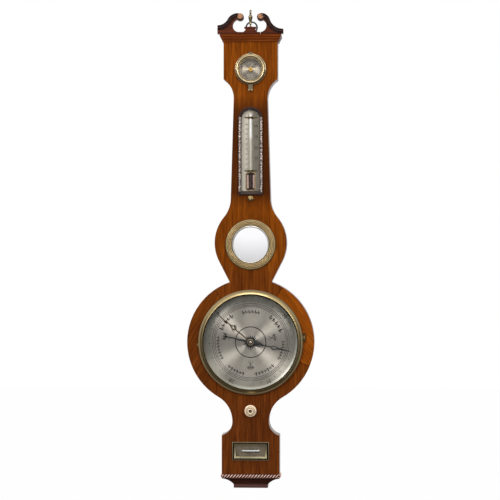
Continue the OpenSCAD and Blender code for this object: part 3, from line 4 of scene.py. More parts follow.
import bmesh
import bpy
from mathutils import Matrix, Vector


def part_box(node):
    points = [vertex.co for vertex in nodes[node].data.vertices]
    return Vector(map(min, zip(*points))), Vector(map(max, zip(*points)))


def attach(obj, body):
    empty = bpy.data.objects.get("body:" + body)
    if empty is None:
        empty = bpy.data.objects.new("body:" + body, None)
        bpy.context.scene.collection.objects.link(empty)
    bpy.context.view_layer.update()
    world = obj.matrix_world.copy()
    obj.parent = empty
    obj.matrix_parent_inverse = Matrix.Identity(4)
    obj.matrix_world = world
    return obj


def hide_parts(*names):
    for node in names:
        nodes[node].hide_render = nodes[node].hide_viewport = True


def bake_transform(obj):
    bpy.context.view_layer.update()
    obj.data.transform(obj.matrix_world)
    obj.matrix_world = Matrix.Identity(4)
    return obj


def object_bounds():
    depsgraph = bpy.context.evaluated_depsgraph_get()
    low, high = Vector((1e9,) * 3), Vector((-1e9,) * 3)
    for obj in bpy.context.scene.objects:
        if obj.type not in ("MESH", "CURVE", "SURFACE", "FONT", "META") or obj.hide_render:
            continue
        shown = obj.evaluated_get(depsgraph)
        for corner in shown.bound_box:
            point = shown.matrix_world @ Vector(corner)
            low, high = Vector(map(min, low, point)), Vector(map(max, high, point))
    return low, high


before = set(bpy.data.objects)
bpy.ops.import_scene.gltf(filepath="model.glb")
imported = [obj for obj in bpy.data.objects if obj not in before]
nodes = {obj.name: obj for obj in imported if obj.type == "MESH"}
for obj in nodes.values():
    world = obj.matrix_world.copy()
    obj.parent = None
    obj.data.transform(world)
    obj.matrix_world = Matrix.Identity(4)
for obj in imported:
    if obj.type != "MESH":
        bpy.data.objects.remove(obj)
cad_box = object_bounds()
scene = bpy.context.scene
scene.view_settings.view_transform = "Standard"

MM = 0.001
TURN = 2 * math.pi
SHARP_ANGLE = math.radians(40.0)


def middle(name):
    """Middle of a CAD node's box."""
    low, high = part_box(name)
    return (low + high) / 2


def front(name):
    """Y of a CAD node's foremost plane."""
    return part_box(name)[0].y


def half_size(name, axis=0):
    """Half the size of a CAD node along one axis."""
    low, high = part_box(name)
    return (high[axis] - low[axis]) / 2


def mm(points, across=0.0, along=0.0):
    """Pairs given in mm, in metres from an origin."""
    return [(across + a * MM, along + b * MM) for a, b in points]


# Places that the frame gives
DIAL = middle("dial_plate")
HYGRO = middle("hygro_dial")
MIRROR = middle("mirror_glass")
LEVEL = middle("level_plate")
FRONT_Y = front("front_veneer")


# Mesh building

def add_piece(name, verts, faces, body, slot, look, *replaced):
    """Makes a mesh piece in the row frame. It rides on a body, or on none."""
    mesh = bpy.data.meshes.new(name)
    mesh.from_pydata([tuple(v) for v in verts], [], [tuple(f) for f in faces])
    mesh.update()
    mesh.shade_smooth()
    mesh.set_sharp_from_angle(angle=SHARP_ANGLE)
    piece = bpy.data.objects.new(name, mesh)
    scene.collection.objects.link(piece)
    mesh.materials.append(LOOKS[look])
    if body:
        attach(piece, body)
    if replaced:
        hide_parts(*replaced)
    return piece


class Shape:
    """Vertices and faces gathered from several forms."""

    def __init__(self, *forms):
        self.verts = []
        self.faces = []
        for form in forms:
            self.add(form)

    def add(self, form):
        verts, faces = form
        start = len(self.verts)
        self.verts.extend(verts)
        self.faces.extend([[start + i for i in face] for face in faces])

    def piece(self, name, body, slot, look, *replaced):
        """Makes the piece, which may stand for CAD nodes, with its faces turned outwards."""
        made = add_piece(name, self.verts, self.faces, body, slot, look, *replaced)
        shell = bmesh.new()
        shell.from_mesh(made.data)
        bmesh.ops.recalc_face_normals(shell, faces=shell.faces)
        shell.to_mesh(made.data)
        shell.free()
        return made


def tube_faces(rows, columns, closed=False):
    """Faces round rows of vertices. The end rows are joined to each other, or each has a cap."""
    faces = []
    for i in range(rows if closed else rows - 1):
        this = i * columns
        after = (i + 1) % rows * columns
        for j in range(columns):
            k = (j + 1) % columns
            faces.append((this + j, this + k, after + k, after + j))
    if not closed:
        faces.append(tuple(range(columns - 1, -1, -1)))
        faces.append(tuple((rows - 1) * columns + j for j in range(columns)))
    return faces


def turned(profile, centre, steps=96, axis="y", closed=False):
    """Profile of (radius, place along the axis) turned about an axis through centre."""
    verts = []
    for radius, place in profile:
        for j in range(steps):
            across = radius * math.cos(TURN * j / steps)
            up = radius * math.sin(TURN * j / steps)
            if axis == "y":
                verts.append((centre[0] + across, place, centre[2] + up))
            elif axis == "x":
                verts.append((place, centre[1] + across, centre[2] + up))
            else:
                verts.append((centre[0] + across, centre[1] + up, place))
    return verts, tube_faces(len(profile), steps, closed)


def ring_form(profile, centre, steps, axis="y"):
    """Turned ring whose profile closes on itself."""
    return turned(profile, centre, steps, axis, closed=True)


def box_form(low, high):
    """Plain block between two corners."""
    x_ends, y_ends, z_ends = zip(low, high)
    verts = [(x, y, z) for x in x_ends for y in y_ends for z in z_ends]
    faces = [(0, 1, 3, 2), (4, 6, 7, 5), (0, 4, 5, 1), (2, 3, 7, 6), (0, 2, 6, 4), (1, 5, 7, 3)]
    return verts, faces


def prism(outline, near, far, upright=False):
    """Closed plate: an (x, z) outline between two planes, or an upright (x, y) one between two heights."""
    count = len(outline)
    verts = []
    for plane in (near, far):
        for x, other in outline:
            verts.append((x, other, plane) if upright else (x, plane, other))
    faces = [tuple(range(count)), tuple(range(2 * count - 1, count - 1, -1))]
    for i in range(count):
        k = (i + 1) % count
        faces.append((k, i, count + i, count + k))
    return verts, faces


def left_sides(path):
    """Unit vectors to the left of a path at each of its points."""
    path = [Vector(p) for p in path]
    last = len(path) - 1
    sides = []
    for i in range(last + 1):
        ahead = path[min(i + 1, last)] - path[max(i - 1, 0)]
        sides.append(Vector((-ahead.y, ahead.x)).normalized())
    return sides


def moulded(path, section):
    """Section of (offset to the left, y) points carried along a path of (x, z) points."""
    verts = []
    for point, across in zip(path, left_sides(path)):
        for offset, y in section:
            place = Vector(point) + across * offset
            verts.append((place.x, y, place.y))
    return verts, tube_faces(len(path), len(section))


def ribbon(points, widths, near, far):
    """Flat bar along points whose width changes from point to point."""
    halves = [across * (width / 2) for across, width in zip(left_sides(points), widths)]
    left = [Vector(point) + half for point, half in zip(points, halves)]
    right = [Vector(point) - half for point, half in zip(points, halves)]
    return prism(right + left[::-1], near, far)


def polar(radius, degrees):
    """Point at a radius, clockwise from the top."""
    angle = math.radians(degrees)
    return Vector((radius * math.sin(angle), radius * math.cos(angle)))


def arc_points(centre, radius, start, end, steps):
    """Points on an arc, angles in degrees from the +x direction."""
    out = []
    for i in range(steps + 1):
        angle = math.radians(start + (end - start) * i / steps)
        out.append(Vector((centre[0] + radius * math.cos(angle), centre[1] + radius * math.sin(angle))))
    return out


class Engraving:
    """Flat marks in a plane that faces the front, measured from a centre in metres."""

    def __init__(self):
        self.points = []
        self.faces = []

    def fill(self, outline):
        start = len(self.points)
        self.points.extend(outline)
        self.faces.append([start + i for i in range(len(outline))])

    def stroke(self, points, width):
        """Line of a given width."""
        start = len(self.points)
        for point, across in zip(points, left_sides(points)):
            self.points.append(Vector(point) + across * (width / 2))
            self.points.append(Vector(point) - across * (width / 2))
        for a in range(start, start + 2 * (len(points) - 1), 2):
            self.faces.append([a + 1, a + 3, a + 2, a])

    def ring(self, radius, width, steps=144):
        start = len(self.points)
        for j in range(steps):
            angle = TURN * j / steps
            for r in (radius - width / 2, radius + width / 2):
                self.points.append(Vector((r * math.cos(angle), r * math.sin(angle))))
        for j in range(steps):
            this = start + 2 * j
            after = start + 2 * ((j + 1) % steps)
            self.faces.append([this, this + 1, after + 1, after])

    def text(self, words, size, place, turn=0.0):
        """Plain figures set about a place and turned clockwise."""
        curve = bpy.data.curves.new("figures", "FONT")
        curve.body = words
        curve.size = size
        curve.align_x = "CENTER"
        curve.align_y = "CENTER"
        curve.resolution_u = 4
        holder = bpy.data.objects.new("figures", curve)
        mesh = bpy.data.meshes.new_from_object(holder)
        start = len(self.points)
        cos_t = math.cos(-turn)
        sin_t = math.sin(-turn)
        for v in mesh.vertices:
            self.points.append(Vector((place[0] + v.co.x * cos_t - v.co.y * sin_t,
                                       place[1] + v.co.x * sin_t + v.co.y * cos_t)))
        self.faces.extend([[start + i for i in p.vertices] for p in mesh.polygons])
        bpy.data.objects.remove(holder)
        bpy.data.curves.remove(curve)
        bpy.data.meshes.remove(mesh)

    def figure(self, words, size, radius, degrees):
        """Plain figures at a radius in mm, upright seen from the centre."""
        self.text(words, size * MM, polar(radius * MM, degrees), math.radians(degrees))

    def piece(self, name, centre, y, thickness, body, slot, look):
        """Turns the marks into a thin inlay that stands just proud of plane y."""
        verts = [(centre[0] + p[0], y, centre[2] + p[1]) for p in self.points]
        made = add_piece(name, verts, self.faces, body, slot, look)
        solid = made.modifiers.new("Inlay", "SOLIDIFY")
        solid.thickness = thickness
        solid.offset = 1.0
        return made


# Materials

LOOKS = {}
WHITE = (1.0, 1.0, 1.0)
# Places of the four tones of wood on the grain's scale, and the tone of its pores
GRAIN_STOPS = (0.34, 0.46, 0.56, 0.68)
PORE_TONE = (0.4, 0.35, 0.3)
# Strength and height of the relief of wood and of scratched metal
GRAIN_BUMP = (0.1, 0.4 * MM)
SCRATCH_BUMP = (0.003, 0.1 * MM)
TARNISH_ROUGHER = 0.14


class Nodes:
    """Shader nodes of a material or a world, added one by one in front of its last shader."""

    def __init__(self, owner, shader, coordinates):
        owner.use_nodes = True
        self.tree = owner.node_tree
        self.shader = self.tree.nodes[shader]
        self.vector = self.add("ShaderNodeTexCoord").outputs[coordinates]

    def fill(self, node, inputs):
        """Sets or links each input of a node."""
        for key, value in inputs.items():
            if isinstance(value, bpy.types.NodeSocket):
                self.tree.links.new(value, node.inputs[key])
            else:
                node.inputs[key].default_value = value

    def add(self, kind, inputs=None, **settings):
        made = self.tree.nodes.new(kind)
        for key, value in settings.items():
            setattr(made, key, value)
        self.fill(made, inputs or {})
        return made

    def dress(self, inputs):
        """Sets or links each input of the last shader."""
        self.fill(self.shader, inputs)

    def math(self, operation, a, b=0.0, clamp=False):
        return self.add("ShaderNodeMath", {0: a, 1: b}, operation=operation, use_clamp=clamp).outputs[0]

    def times(self, a, b, clamp=False):
        return self.math("MULTIPLY", a, b, clamp)

    def minus(self, a, b):
        return self.math("SUBTRACT", a, b)

    def most(self, a, b):
        return self.math("MAXIMUM", a, b)

    def apart(self, a, b):
        return self.math("ABSOLUTE", self.minus(a, b))

    def vector_math(self, operation, a, b=(0.0, 0.0, 0.0), output="Value"):
        return self.add("ShaderNodeVectorMath", {0: a, 1: b}, operation=operation).outputs[output]

    def along(self, axis):
        return self.add("ShaderNodeSeparateXYZ", {0: self.vector}).outputs[axis]

    def map_range(self, value, low, high, to_low=0.0, to_high=1.0):
        limits = {"From Min": low, "From Max": high, "To Min": to_low, "To Max": to_high}
        return self.add("ShaderNodeMapRange", {"Value": value, **limits}).outputs[0]

    def ramp(self, factor, *stops):
        made = self.add("ShaderNodeValToRGB", {"Fac": factor})
        elements = made.color_ramp.elements
        while len(elements) < len(stops):
            elements.new(0.5)
        for element, (place, tone) in zip(elements, stops):
            element.position = place
            element.color = (*tone, 1.0)
        return made.outputs["Color"]

    def mix(self, factor, a, b, blend="MIX"):
        a, b = [c if isinstance(c, bpy.types.NodeSocket) else (*c, 1.0) for c in (a, b)]
        made = self.add("ShaderNodeMix", {0: factor, 6: a, 7: b}, data_type="RGBA", blend_type=blend)
        return made.outputs[2]

    def stain(self, factor, a, b):
        return self.mix(factor, a, b, "MULTIPLY")

    def noise(self, scale, detail=4.0, roughness=0.55, vector=None):
        """Noise with one scale, or with one for each axis."""
        scale = (scale,) * 3 if isinstance(scale, float) else scale
        vector = self.vector if vector is None else vector
        mapped = self.add("ShaderNodeMapping", {"Vector": vector, "Scale": scale}).outputs[0]
        looks = {"Scale": 1.0, "Detail": detail, "Roughness": roughness}
        return self.add("ShaderNodeTexNoise", {"Vector": mapped, **looks}).outputs["Fac"]

    def bump(self, height, strength, distance):
        shape = {"Height": height, "Strength": strength, "Distance": distance}
        return self.add("ShaderNodeBump", shape).outputs[0]

    def seen_rays(self):
        """Whether a ray comes from the camera, and whether from a mirror or through glass."""
        path = self.add("ShaderNodeLightPath").outputs
        return path["Is Camera Ray"], self.most(path["Is Glossy Ray"], path["Is Transmission Ray"])


def new_look(name):
    LOOKS[name] = bpy.data.materials.new(name)
    return Nodes(LOOKS[name], "Principled BSDF", "Object")


def grain(look, vector, tones, axis):
    """Colour and pore pattern of straight-grained wood along one axis."""
    def grain_noise(across, along, detail, roughness=0.55):
        scale = [across] * 3
        scale[axis] = along
        return look.noise(scale, detail, roughness, vector)
    broad = grain_noise(70.0, 5.0, 4.0)
    streak = grain_noise(300.0, 14.0, 6.0, 0.7)
    fine = grain_noise(900.0, 26.0, 3.0, 0.6)
    mixed = look.math("ADD", look.times(broad, 0.35), look.times(streak, 0.65))
    colour = look.ramp(mixed, *zip(GRAIN_STOPS, tones))
    pores = look.ramp(fine, (0.38, PORE_TONE), (0.5, WHITE))
    return look.stain(0.6, colour, pores), fine


def polish(look, colour, height, roughness, gloss):
    raised = look.bump(height, *GRAIN_BUMP)
    look.dress({"Base Color": colour, "Roughness": roughness, "Specular IOR Level": gloss, "Normal": raised})


def wood(name, roughness, gloss, axis, *tones):
    look = new_look(name)
    colour, height = grain(look, look.vector, tones, axis)
    polish(look, colour, height, roughness, gloss)


# Angles, clockwise from the top, of the joints between the veneers round the dial, and how far each leans
RIGHT_VENEER = (30.0, 112.0, 38.0)
LEFT_VENEER = (-132.0, -34.0, -30.0)
JOINT_HALF = 0.005
JOINT_TONE = (0.03, 0.008, 0.002)
# Heights on the case where the veneer turns redder or takes painted shade, in metres
RED_BELOW = -0.62
THERMOMETER_SHADE = -0.27
OVER_DIAL_SHADE = -0.553
SHADE_TONE = (0.05, 0.012, 0.002)
RIGHT_LIGHTER = (1.3, 1.3, 1.4)
CLOUD_TONE = (0.62, 0.58, 0.55)
GOLDEN = ((0.09, 0.019, 0.0008), (0.16, 0.037, 0.0015), (0.225, 0.054, 0.0025), (0.33, 0.09, 0.005))
RUSSET = ((0.047, 0.01, 0.0013), (0.092, 0.0215, 0.003), (0.132, 0.032, 0.0045), (0.195, 0.052, 0.009))


def veneer(name):
    """Straight grain down the case, slanting veneers beside the dial, redder towards the foot."""
    look = new_look(name)
    z = look.along(2)
    angle = look.math("ARCTAN2", look.along(0), look.minus(z, DIAL.z))
    leant = look.vector
    joints = 0.0
    sectors = []
    for start, end, lean in (RIGHT_VENEER, LEFT_VENEER):
        after = look.math("GREATER_THAN", angle, math.radians(start))
        inside = look.times(after, look.math("LESS_THAN", angle, math.radians(end)))
        sectors.append(inside)
        turn = {"Vector": look.vector, "Center": (0.1, 0.3, DIAL.z), "Angle": math.radians(lean)}
        leaning = look.add("ShaderNodeVectorRotate", turn, rotation_type="Y_AXIS").outputs[0]
        leant = look.add("ShaderNodeMix", {0: inside, 4: leant, 5: leaning}, data_type="VECTOR").outputs[1]
        for edge in (start, end):
            near = look.math("LESS_THAN", look.apart(angle, math.radians(edge)), JOINT_HALF)
            joints = look.most(joints, near)
    right, left = sectors
    golden, height = grain(look, leant, GOLDEN, 2)
    russet = grain(look, leant, RUSSET, 2)[0]
    low = look.times(look.minus(RED_BELOW, z), 5.0, clamp=True)
    colour = look.mix(look.times(low, look.minus(1.0, right)), golden, russet)
    colour = look.mix(look.times(left, 0.6), colour, russet)
    # Painted shade: the neck is darker beside the thermometer
    beside = look.map_range(look.apart(z, THERMOMETER_SHADE), 0.088, 0.12, 0.85, 0.0)
    colour = look.mix(beside, colour, SHADE_TONE)
    # Painted shade above the dial too, and the right-hand veneer is lighter
    over = look.map_range(look.apart(z, OVER_DIAL_SHADE), 0.015, 0.06, 0.6, 0.0)
    outside = look.minus(1.0, look.math("ADD", right, left))
    colour = look.mix(look.times(over, outside), colour, russet)
    colour = look.stain(right, colour, RIGHT_LIGHTER)
    clouds = look.ramp(look.noise((14.0, 14.0, 9.0), 3.0), (0.3, CLOUD_TONE), (0.6, WHITE))
    colour = look.mix(joints, look.stain(0.6, colour, clouds), JOINT_TONE)
    polish(look, colour, height, 0.33, 0.025)


def metal(name, tone, worn, roughness=0.28, patch=60.0):
    """Metal with darker patches of tarnish and fine scratches."""
    look = new_look(name)
    patches = look.noise(patch, 5.0, 0.6)
    look.dress({
        "Base Color": look.ramp(patches, (0.32, worn), (0.6, tone)),
        "Metallic": 1.0,
        "Roughness": look.map_range(patches, 0.3, 0.7, roughness + TARNISH_ROUGHER, roughness),
        "Normal": look.bump(look.noise(1400.0, 2.0), *SCRATCH_BUMP),
    })


def dial_metal(name, centre, tone, worn, edge=0.0):
    """Silvered brass with fine circular grain about a centre and a few spots of age; with an edge, painted
    shade on the outer band and a painted highlight on the rim.
    """
    look = new_look(name)
    offset = look.vector_math("SUBTRACT", look.vector, tuple(centre), "Vector")
    flat = look.vector_math("MULTIPLY", offset, (1.0, 0.0, 1.0), "Vector")
    reach = look.vector_math("LENGTH", flat)
    rings = {"W": reach, "Scale": 1800.0, "Detail": 2.0}
    lines = look.add("ShaderNodeTexNoise", rings, noise_dimensions="1D").outputs["Fac"]
    colour = look.ramp(look.noise(26.0, 5.0, 0.62), (0.3, worn), (0.55, tone))
    colour = look.stain(0.7, colour, look.ramp(lines, (0.3, (0.84, 0.84, 0.84)), (0.7, WHITE)))
    if edge:
        # Painted shade on the outer band, most of all at the top left
        lit = look.vector_math("DOT_PRODUCT", offset, (3.0, 0.0, -3.6))
        out = look.times(look.minus(reach, edge), 260.0, clamp=True)
        painted_shade = look.times(out, look.minus(0.8, lit), clamp=True)
        colour = look.mix(painted_shade, colour, look.mix(0.38, colour, (0.12, 0.15, 0.13)))
        # Painted highlight on the rim in the lower half
        rim = look.times(look.minus(reach, edge + 11.5 * MM), 300.0, clamp=True)
        below = look.times(lit, 3.0, clamp=True)
        colour = look.mix(look.times(rim, below), colour, (0.86, 0.87, 0.78))
    tangent = look.add("ShaderNodeTangent", direction_type="RADIAL", axis="Y").outputs[0]
    look.dress({"Base Color": colour, "Metallic": 1.0, "Roughness": 0.5, "Anisotropic": 1.0,
                "Anisotropic Rotation": 0.25, "Tangent": tangent})


def plain(name, tone, spread, roughness=0.4, coat=0.0, patch=90.0):
    """Paint, bone or ink whose tone varies a little from place to place."""
    look = new_look(name)
    dark = tuple(c * (1 - spread) for c in tone)
    colour = look.ramp(look.noise(patch), (0.3, dark), (0.65, tone))
    look.dress({"Base Color": colour, "Roughness": roughness, "Coat Weight": coat})


def clear_glass(name, tint):
    look = new_look(name)
    dim = tuple(c * 0.97 for c in tint)
    colour = look.ramp(look.noise(40.0, 2.0), (0.35, dim), (0.65, tint))
    look.dress({"Base Color": colour, "Transmission Weight": 1.0, "Roughness": 0.02, "IOR": 1.45})


def thin_glass(name):
    """Flat pane: see-through, with a faint gloss."""
    look = new_look(name)
    alpha = look.map_range(look.noise(30.0, 2.0), 0.3, 0.7, 0.03, 0.05)
    look.dress({"Base Color": (0.03, 0.035, 0.03, 1.0), "Alpha": alpha, "Roughness": 0.03})
    LOOKS[name].surface_render_method = "BLENDED"


def scale_plate(name, left, right):
    """Silvered scale plate with painted shade that darkens it from its left side to its right."""
    look = new_look(name)
    # Painted shade: the tone falls from the left side to the right
    tone = look.ramp(look.map_range(look.along(0), -4.0 * MM, 7.0 * MM), (0.0, left), (1.0, right))
    worn = look.ramp(look.noise((70.0, 70.0, 30.0)), (0.3, (0.82, 0.82, 0.8)), (0.65, WHITE))
    look.dress({"Base Color": look.stain(0.8, tone, worn), "Metallic": 1.0, "Roughness": 0.42})


def milk_glass(name):
    """Milk glass stem whose upper part is whiter, a painted highlight, with a dark bulb at its foot."""
    look = new_look(name)
    low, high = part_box("thermo_tube")
    # Painted highlight: the upper part of the stem is whiter
    tone = look.ramp(look.map_range(look.along(2), low.z, high.z), (0.235, (0.03, 0.008, 0.006)),
                     (0.25, (0.5, 0.46, 0.37)), (0.66, (0.54, 0.5, 0.41)), (0.7, (0.82, 0.81, 0.76)))
    worn = look.ramp(look.noise((60.0, 60.0, 20.0), 3.0), (0.35, (0.9, 0.9, 0.88)), (0.65, WHITE))
    look.dress({"Base Color": look.stain(0.7, tone, worn), "Roughness": 0.2})


def glossy_glass(name):
    """Glass of a small tube that mirrors much of the room."""
    look = new_look(name)
    faint = look.noise((90.0, 30.0, 30.0), 3.0)
    colour = look.ramp(faint, (0.35, (0.86, 0.87, 0.82)), (0.65, (0.95, 0.95, 0.92)))
    look.dress({"Base Color": colour, "Metallic": 0.55, "Transmission Weight": 0.9, "Roughness": 0.05})


# Woods: roughness, gloss, axis of the grain and four tones from dark to light
veneer("veneer")
wood("side_wood", 0.3, 0.5, 2, *RUSSET)
wood("dark_wood", 0.26, 0.3, 0,
     (0.01, 0.003, 0.002), (0.02, 0.0055, 0.0035), (0.032, 0.0085, 0.005), (0.055, 0.015, 0.0085))
wood("cove_wood", 0.3, 0.2, 0,
     (0.016, 0.0042, 0.002), (0.032, 0.008, 0.004), (0.05, 0.012, 0.0055), (0.08, 0.02, 0.009))
wood("plinth_wood", 0.3, 0.3, 0,
     (0.03, 0.0085, 0.0055), (0.055, 0.0155, 0.0105), (0.08, 0.023, 0.0155), (0.12, 0.035, 0.024))
wood("field_wood", 0.3, 0.1, 0,
     (0.034, 0.0065, 0.002), (0.06, 0.0118, 0.0035), (0.09, 0.0185, 0.0055), (0.125, 0.028, 0.009))
wood("cornice_wood", 0.3, 0.05, 0,
     (0.075, 0.015, 0.002), (0.125, 0.026, 0.0032), (0.18, 0.039, 0.0045), (0.235, 0.055, 0.0075))
wood("back_wood", 0.6, 0.1, 2, (0.12, 0.055, 0.02), (0.2, 0.1, 0.04), (0.28, 0.15, 0.065), (0.36, 0.21, 0.1))

# Metals: tone, tone where tarnished, roughness and fineness of the patches
metal("brass", (0.36, 0.275, 0.15), (0.2, 0.145, 0.075))
metal("bright_brass", (0.5, 0.375, 0.17), (0.3, 0.21, 0.09), 0.22)
metal("bezel_bronze", (0.22, 0.165, 0.088), (0.175, 0.13, 0.068), 0.36, 14.0)
metal("bezel_shadow", (0.05, 0.036, 0.016), (0.032, 0.023, 0.01), 0.42, 14.0)
metal("bezel_brass", (0.54, 0.415, 0.205), (0.44, 0.33, 0.155), 0.26, 14.0)
metal("pale_brass", (0.48, 0.385, 0.23), (0.39, 0.31, 0.18), 0.22, 14.0)
metal("rosy_brass", (0.5, 0.37, 0.29), (0.34, 0.24, 0.18), 0.3)
metal("dark_brass", (0.12, 0.085, 0.04), (0.07, 0.05, 0.025), 0.3)
metal("finial_brass", (0.27, 0.215, 0.115), (0.09, 0.07, 0.04), 0.25, 260.0)
metal("level_brass", (0.27, 0.235, 0.15), (0.2, 0.17, 0.1), 0.38, 20.0)
metal("mirror_brass", (0.42, 0.3, 0.145), (0.35, 0.245, 0.115), 0.34, 14.0)
metal("tab_brass", (0.2, 0.165, 0.1), (0.12, 0.1, 0.06), 0.3)
metal("golden_boss", (0.66, 0.4, 0.1), (0.5, 0.29, 0.07), 0.35)
metal("pale_hand", (0.9, 0.8, 0.58), (0.7, 0.6, 0.42), 0.4)
# Peach metal of the strips beside the bulb window: painted reflection
metal("peach_reflection_metal", (0.55, 0.36, 0.27), (0.4, 0.3, 0.32), 0.3, 220.0)
# Pale lavender metal of the thermometer's side strips: painted sheen
metal("lavender_sheen", (0.37, 0.305, 0.275), (0.05, 0.033, 0.028), 0.2, 260.0)
metal("level_plate_grey", (0.18, 0.148, 0.105), (0.12, 0.096, 0.068), 0.4)
metal("collar_grey", (0.24, 0.2, 0.14), (0.16, 0.13, 0.09), 0.4)
metal("bevel_grey", (0.085, 0.066, 0.054), (0.045, 0.032, 0.027), 0.3, 40.0)
metal("rim_silver", (0.86, 0.83, 0.76), (0.7, 0.67, 0.6), 0.28, 14.0)
metal("quicksilver", (0.75, 0.75, 0.77), (0.68, 0.68, 0.7), 0.06)
metal("mirror_silver", (0.97, 0.97, 0.98), (0.94, 0.94, 0.96), 0.03, 8.0)
dial_metal("silvered_dial", DIAL, (0.58, 0.535, 0.465), (0.46, 0.42, 0.36), edge=83.0 * MM)
dial_metal("silvered_hygrometer", HYGRO, (0.52, 0.455, 0.38), (0.45, 0.39, 0.32))
scale_plate("silvered_plate", (0.6, 0.55, 0.46), (0.21, 0.185, 0.15))

# Paint, bone and thread: tone, how far it varies, roughness, coat and fineness of the patches
plain("rope_wood", (0.88, 0.54, 0.43), 0.4, 0.3, 0.15, 160.0)
plain("blued_steel", (0.004, 0.004, 0.005), 0.4, 0.5)
plain("dark_iron", (0.018, 0.016, 0.015), 0.4, 0.42)
plain("engraver_wax", (0.006, 0.0055, 0.005), 0.3, 0.8)
plain("worn_wax", (0.03, 0.026, 0.02), 0.4, 0.8)
plain("bone", (0.93, 0.74, 0.52), 0.14, 0.3, 0.2)
plain("peach_bone", (0.5, 0.235, 0.105), 0.3, 0.35, 0.1, 300.0)
plain("tan_bone", (0.3, 0.11, 0.045), 0.3, 0.45, 0.0, 300.0)
plain("dark_bone", (0.05, 0.035, 0.02), 0.4, 0.4, 0.0, 300.0)
plain("ivory_strip", (0.8, 0.75, 0.63), 0.2, 0.4, 0.0, 60.0)
plain("silk", (0.6, 0.52, 0.38), 0.3, 0.7)
thin_glass("pane")
clear_glass("clear_glass", (0.95, 0.97, 0.96))
glossy_glass("vial_glass")
milk_glass("milk_glass")

NODE_LOOKS = {
    "side_wood": "carcass", "veneer": "front_veneer", "field_wood": "pediment_board finial_plinth",
    "dark_wood": "swan_mouldings rope_moulding thermo_box", "cornice_wood": "cornice",
    "cove_wood": "base_cove", "plinth_wood": "base_plinth", "finial_brass": "finial",
    "back_wood": "channel_cover_upper channel_cover_lower back_door mirror_backboard",
    "brass": "hanging_plate case_screws door_hinge_case_leaf door_hinge_door_leaf turn_button hygro_cup "
             "hygro_bezel thermo_bulb_guard mirror_bezel level_frame tube_mountings",
    "bright_brass": "hygro_hand thermo_clips thermo_knob bezel movement_bridge pointer_arbor set_hand_pipe "
                    "set_hand set_knob_bush",
    "tab_brass": "hygro_hinge", "dark_brass": "bezel_hinge_leaf bezel_hinge_pin", "bone": "set_knob",
    "blued_steel": "pointer_hand", "dark_iron": "hanging_ring door_hinge_pin",
    "peach_bone": "scroll_rosettes",
    "silvered_dial": "dial_plate", "silvered_hygrometer": "hygro_dial", "silvered_plate": "thermo_plate",
    "mirror_silver": "mirror_glass", "level_plate_grey": "level_plate", "quicksilver": "mercury",
    "pane": "hygro_glass thermo_glass dial_glass", "milk_glass": "thermo_tube",
    "clear_glass": "level_vial siphon_tube counterweight_tube float counterweight",
    "silk": "set_cord float_thread",
}
for look_name, node_names in NODE_LOOKS.items():
    for node_name in node_names.split():
        node_mesh = nodes[node_name].data
        node_mesh.materials.clear()
        node_mesh.materials.append(LOOKS[look_name])


# Weather dial engraving, in mm and in degrees clockwise from the top
SCALE_RINGS = (76.0, 79.0, 82.7)
SHORT_MARK = (79.0, 82.7)
LONG_MARK = (76.0, 84.2)
INCH = 103.0
FIRST_INCH = -153.7
SCALE_END = 178.0
# Size and radius of the numbers of inches and of tenths
INCH_FIGURES = (12.0, 91.8)
TENTH_FIGURES = (5.0, 88.4)
# Starburst: count of rays, long and short reach, radius and half angle of the roots
RAYS = 20
RAY_TIPS = (18.8, 16.2)
RAY_ROOT = 9.6
RAY_SPREAD = 8.4
# Angle, width, radius and height of the leaves at the seven states of the weather
SPRAYS = ((0.0, 40.0, 65.5, 9.6), (53.0, 44.0, 69.0, 12.4), (104.0, 42.0, 70.0, 9.0),
          (153.0, 46.0, 69.0, 9.6), (207.0, 40.0, 69.5, 9.6), (259.0, 52.0, 70.5, 9.0),
          (308.0, 42.0, 69.0, 12.4))
SPRIGS = ((78.0, 46.0), (180.0, 48.0), (282.0, 50.0))


def leaf(marks, root, direction, length, width):
    """Pointed leaf from its root along a direction in radians."""
    ahead = Vector((math.cos(direction), math.sin(direction)))
    across = Vector((-ahead.y, ahead.x))
    sides = ((0.2, 0.36), (0.45, 0.5), (0.75, 0.36))
    right = [root + ahead * (length * t) - across * (width * w) for t, w in sides]
    left = [root + ahead * (length * t) + across * (width * w) for t, w in sides[::-1]]
    marks.fill([root] + right + [root + ahead * length] + left)


def spray(marks, radius, angle, width, height):
    """Row of upright leaves along the dial, tall and short by turns, on a thin curling stem."""
    count = max(4, round(width / (0.68 * height)))
    half = math.degrees(width / radius / 2)
    stem = []
    for i in range(4 * count + 1):
        t = i / (4 * count) * 2 - 1
        stem.append(polar((radius + 0.9 * math.sin(t * math.pi * count)) * MM, angle + t * half))
    marks.stroke(stem, 0.25 * MM)
    for i in range(count):
        t = (i + 0.5) / count * 2 - 1
        place = angle + t * half
        tall = height if i % 2 == 0 else height * 0.74
        upright = math.radians(90 - place)
        root = radius - tall / 2
        leaf(marks, polar(root * MM, place), upright, tall * MM, 0.25 * height * MM)
        side_root = polar((root + 0.8) * MM, place + 1.6)
        leaf(marks, side_root, upright - 0.5, tall * 0.6 * MM, 0.15 * height * MM)


def sprig(marks, radius, angle):
    """Crossed stalks with leaves at their ends."""
    centre = polar(radius * MM, angle)
    heading = math.radians(90 - angle)
    for turn, length in ((-0.65, 10.0), (0.65, 10.0), (0.0, 6.0)):
        ahead = Vector((math.cos(heading + turn), math.sin(heading + turn)))
        marks.stroke([centre - ahead * (8.5 * MM), centre + ahead * (length * MM)], 0.7 * MM)
        for step in (5.0, 8.0):
            for side in (-0.8, 0.8):
                leaf(marks, centre + ahead * (step * MM), heading + turn + side, 3.6 * MM, 1.5 * MM)


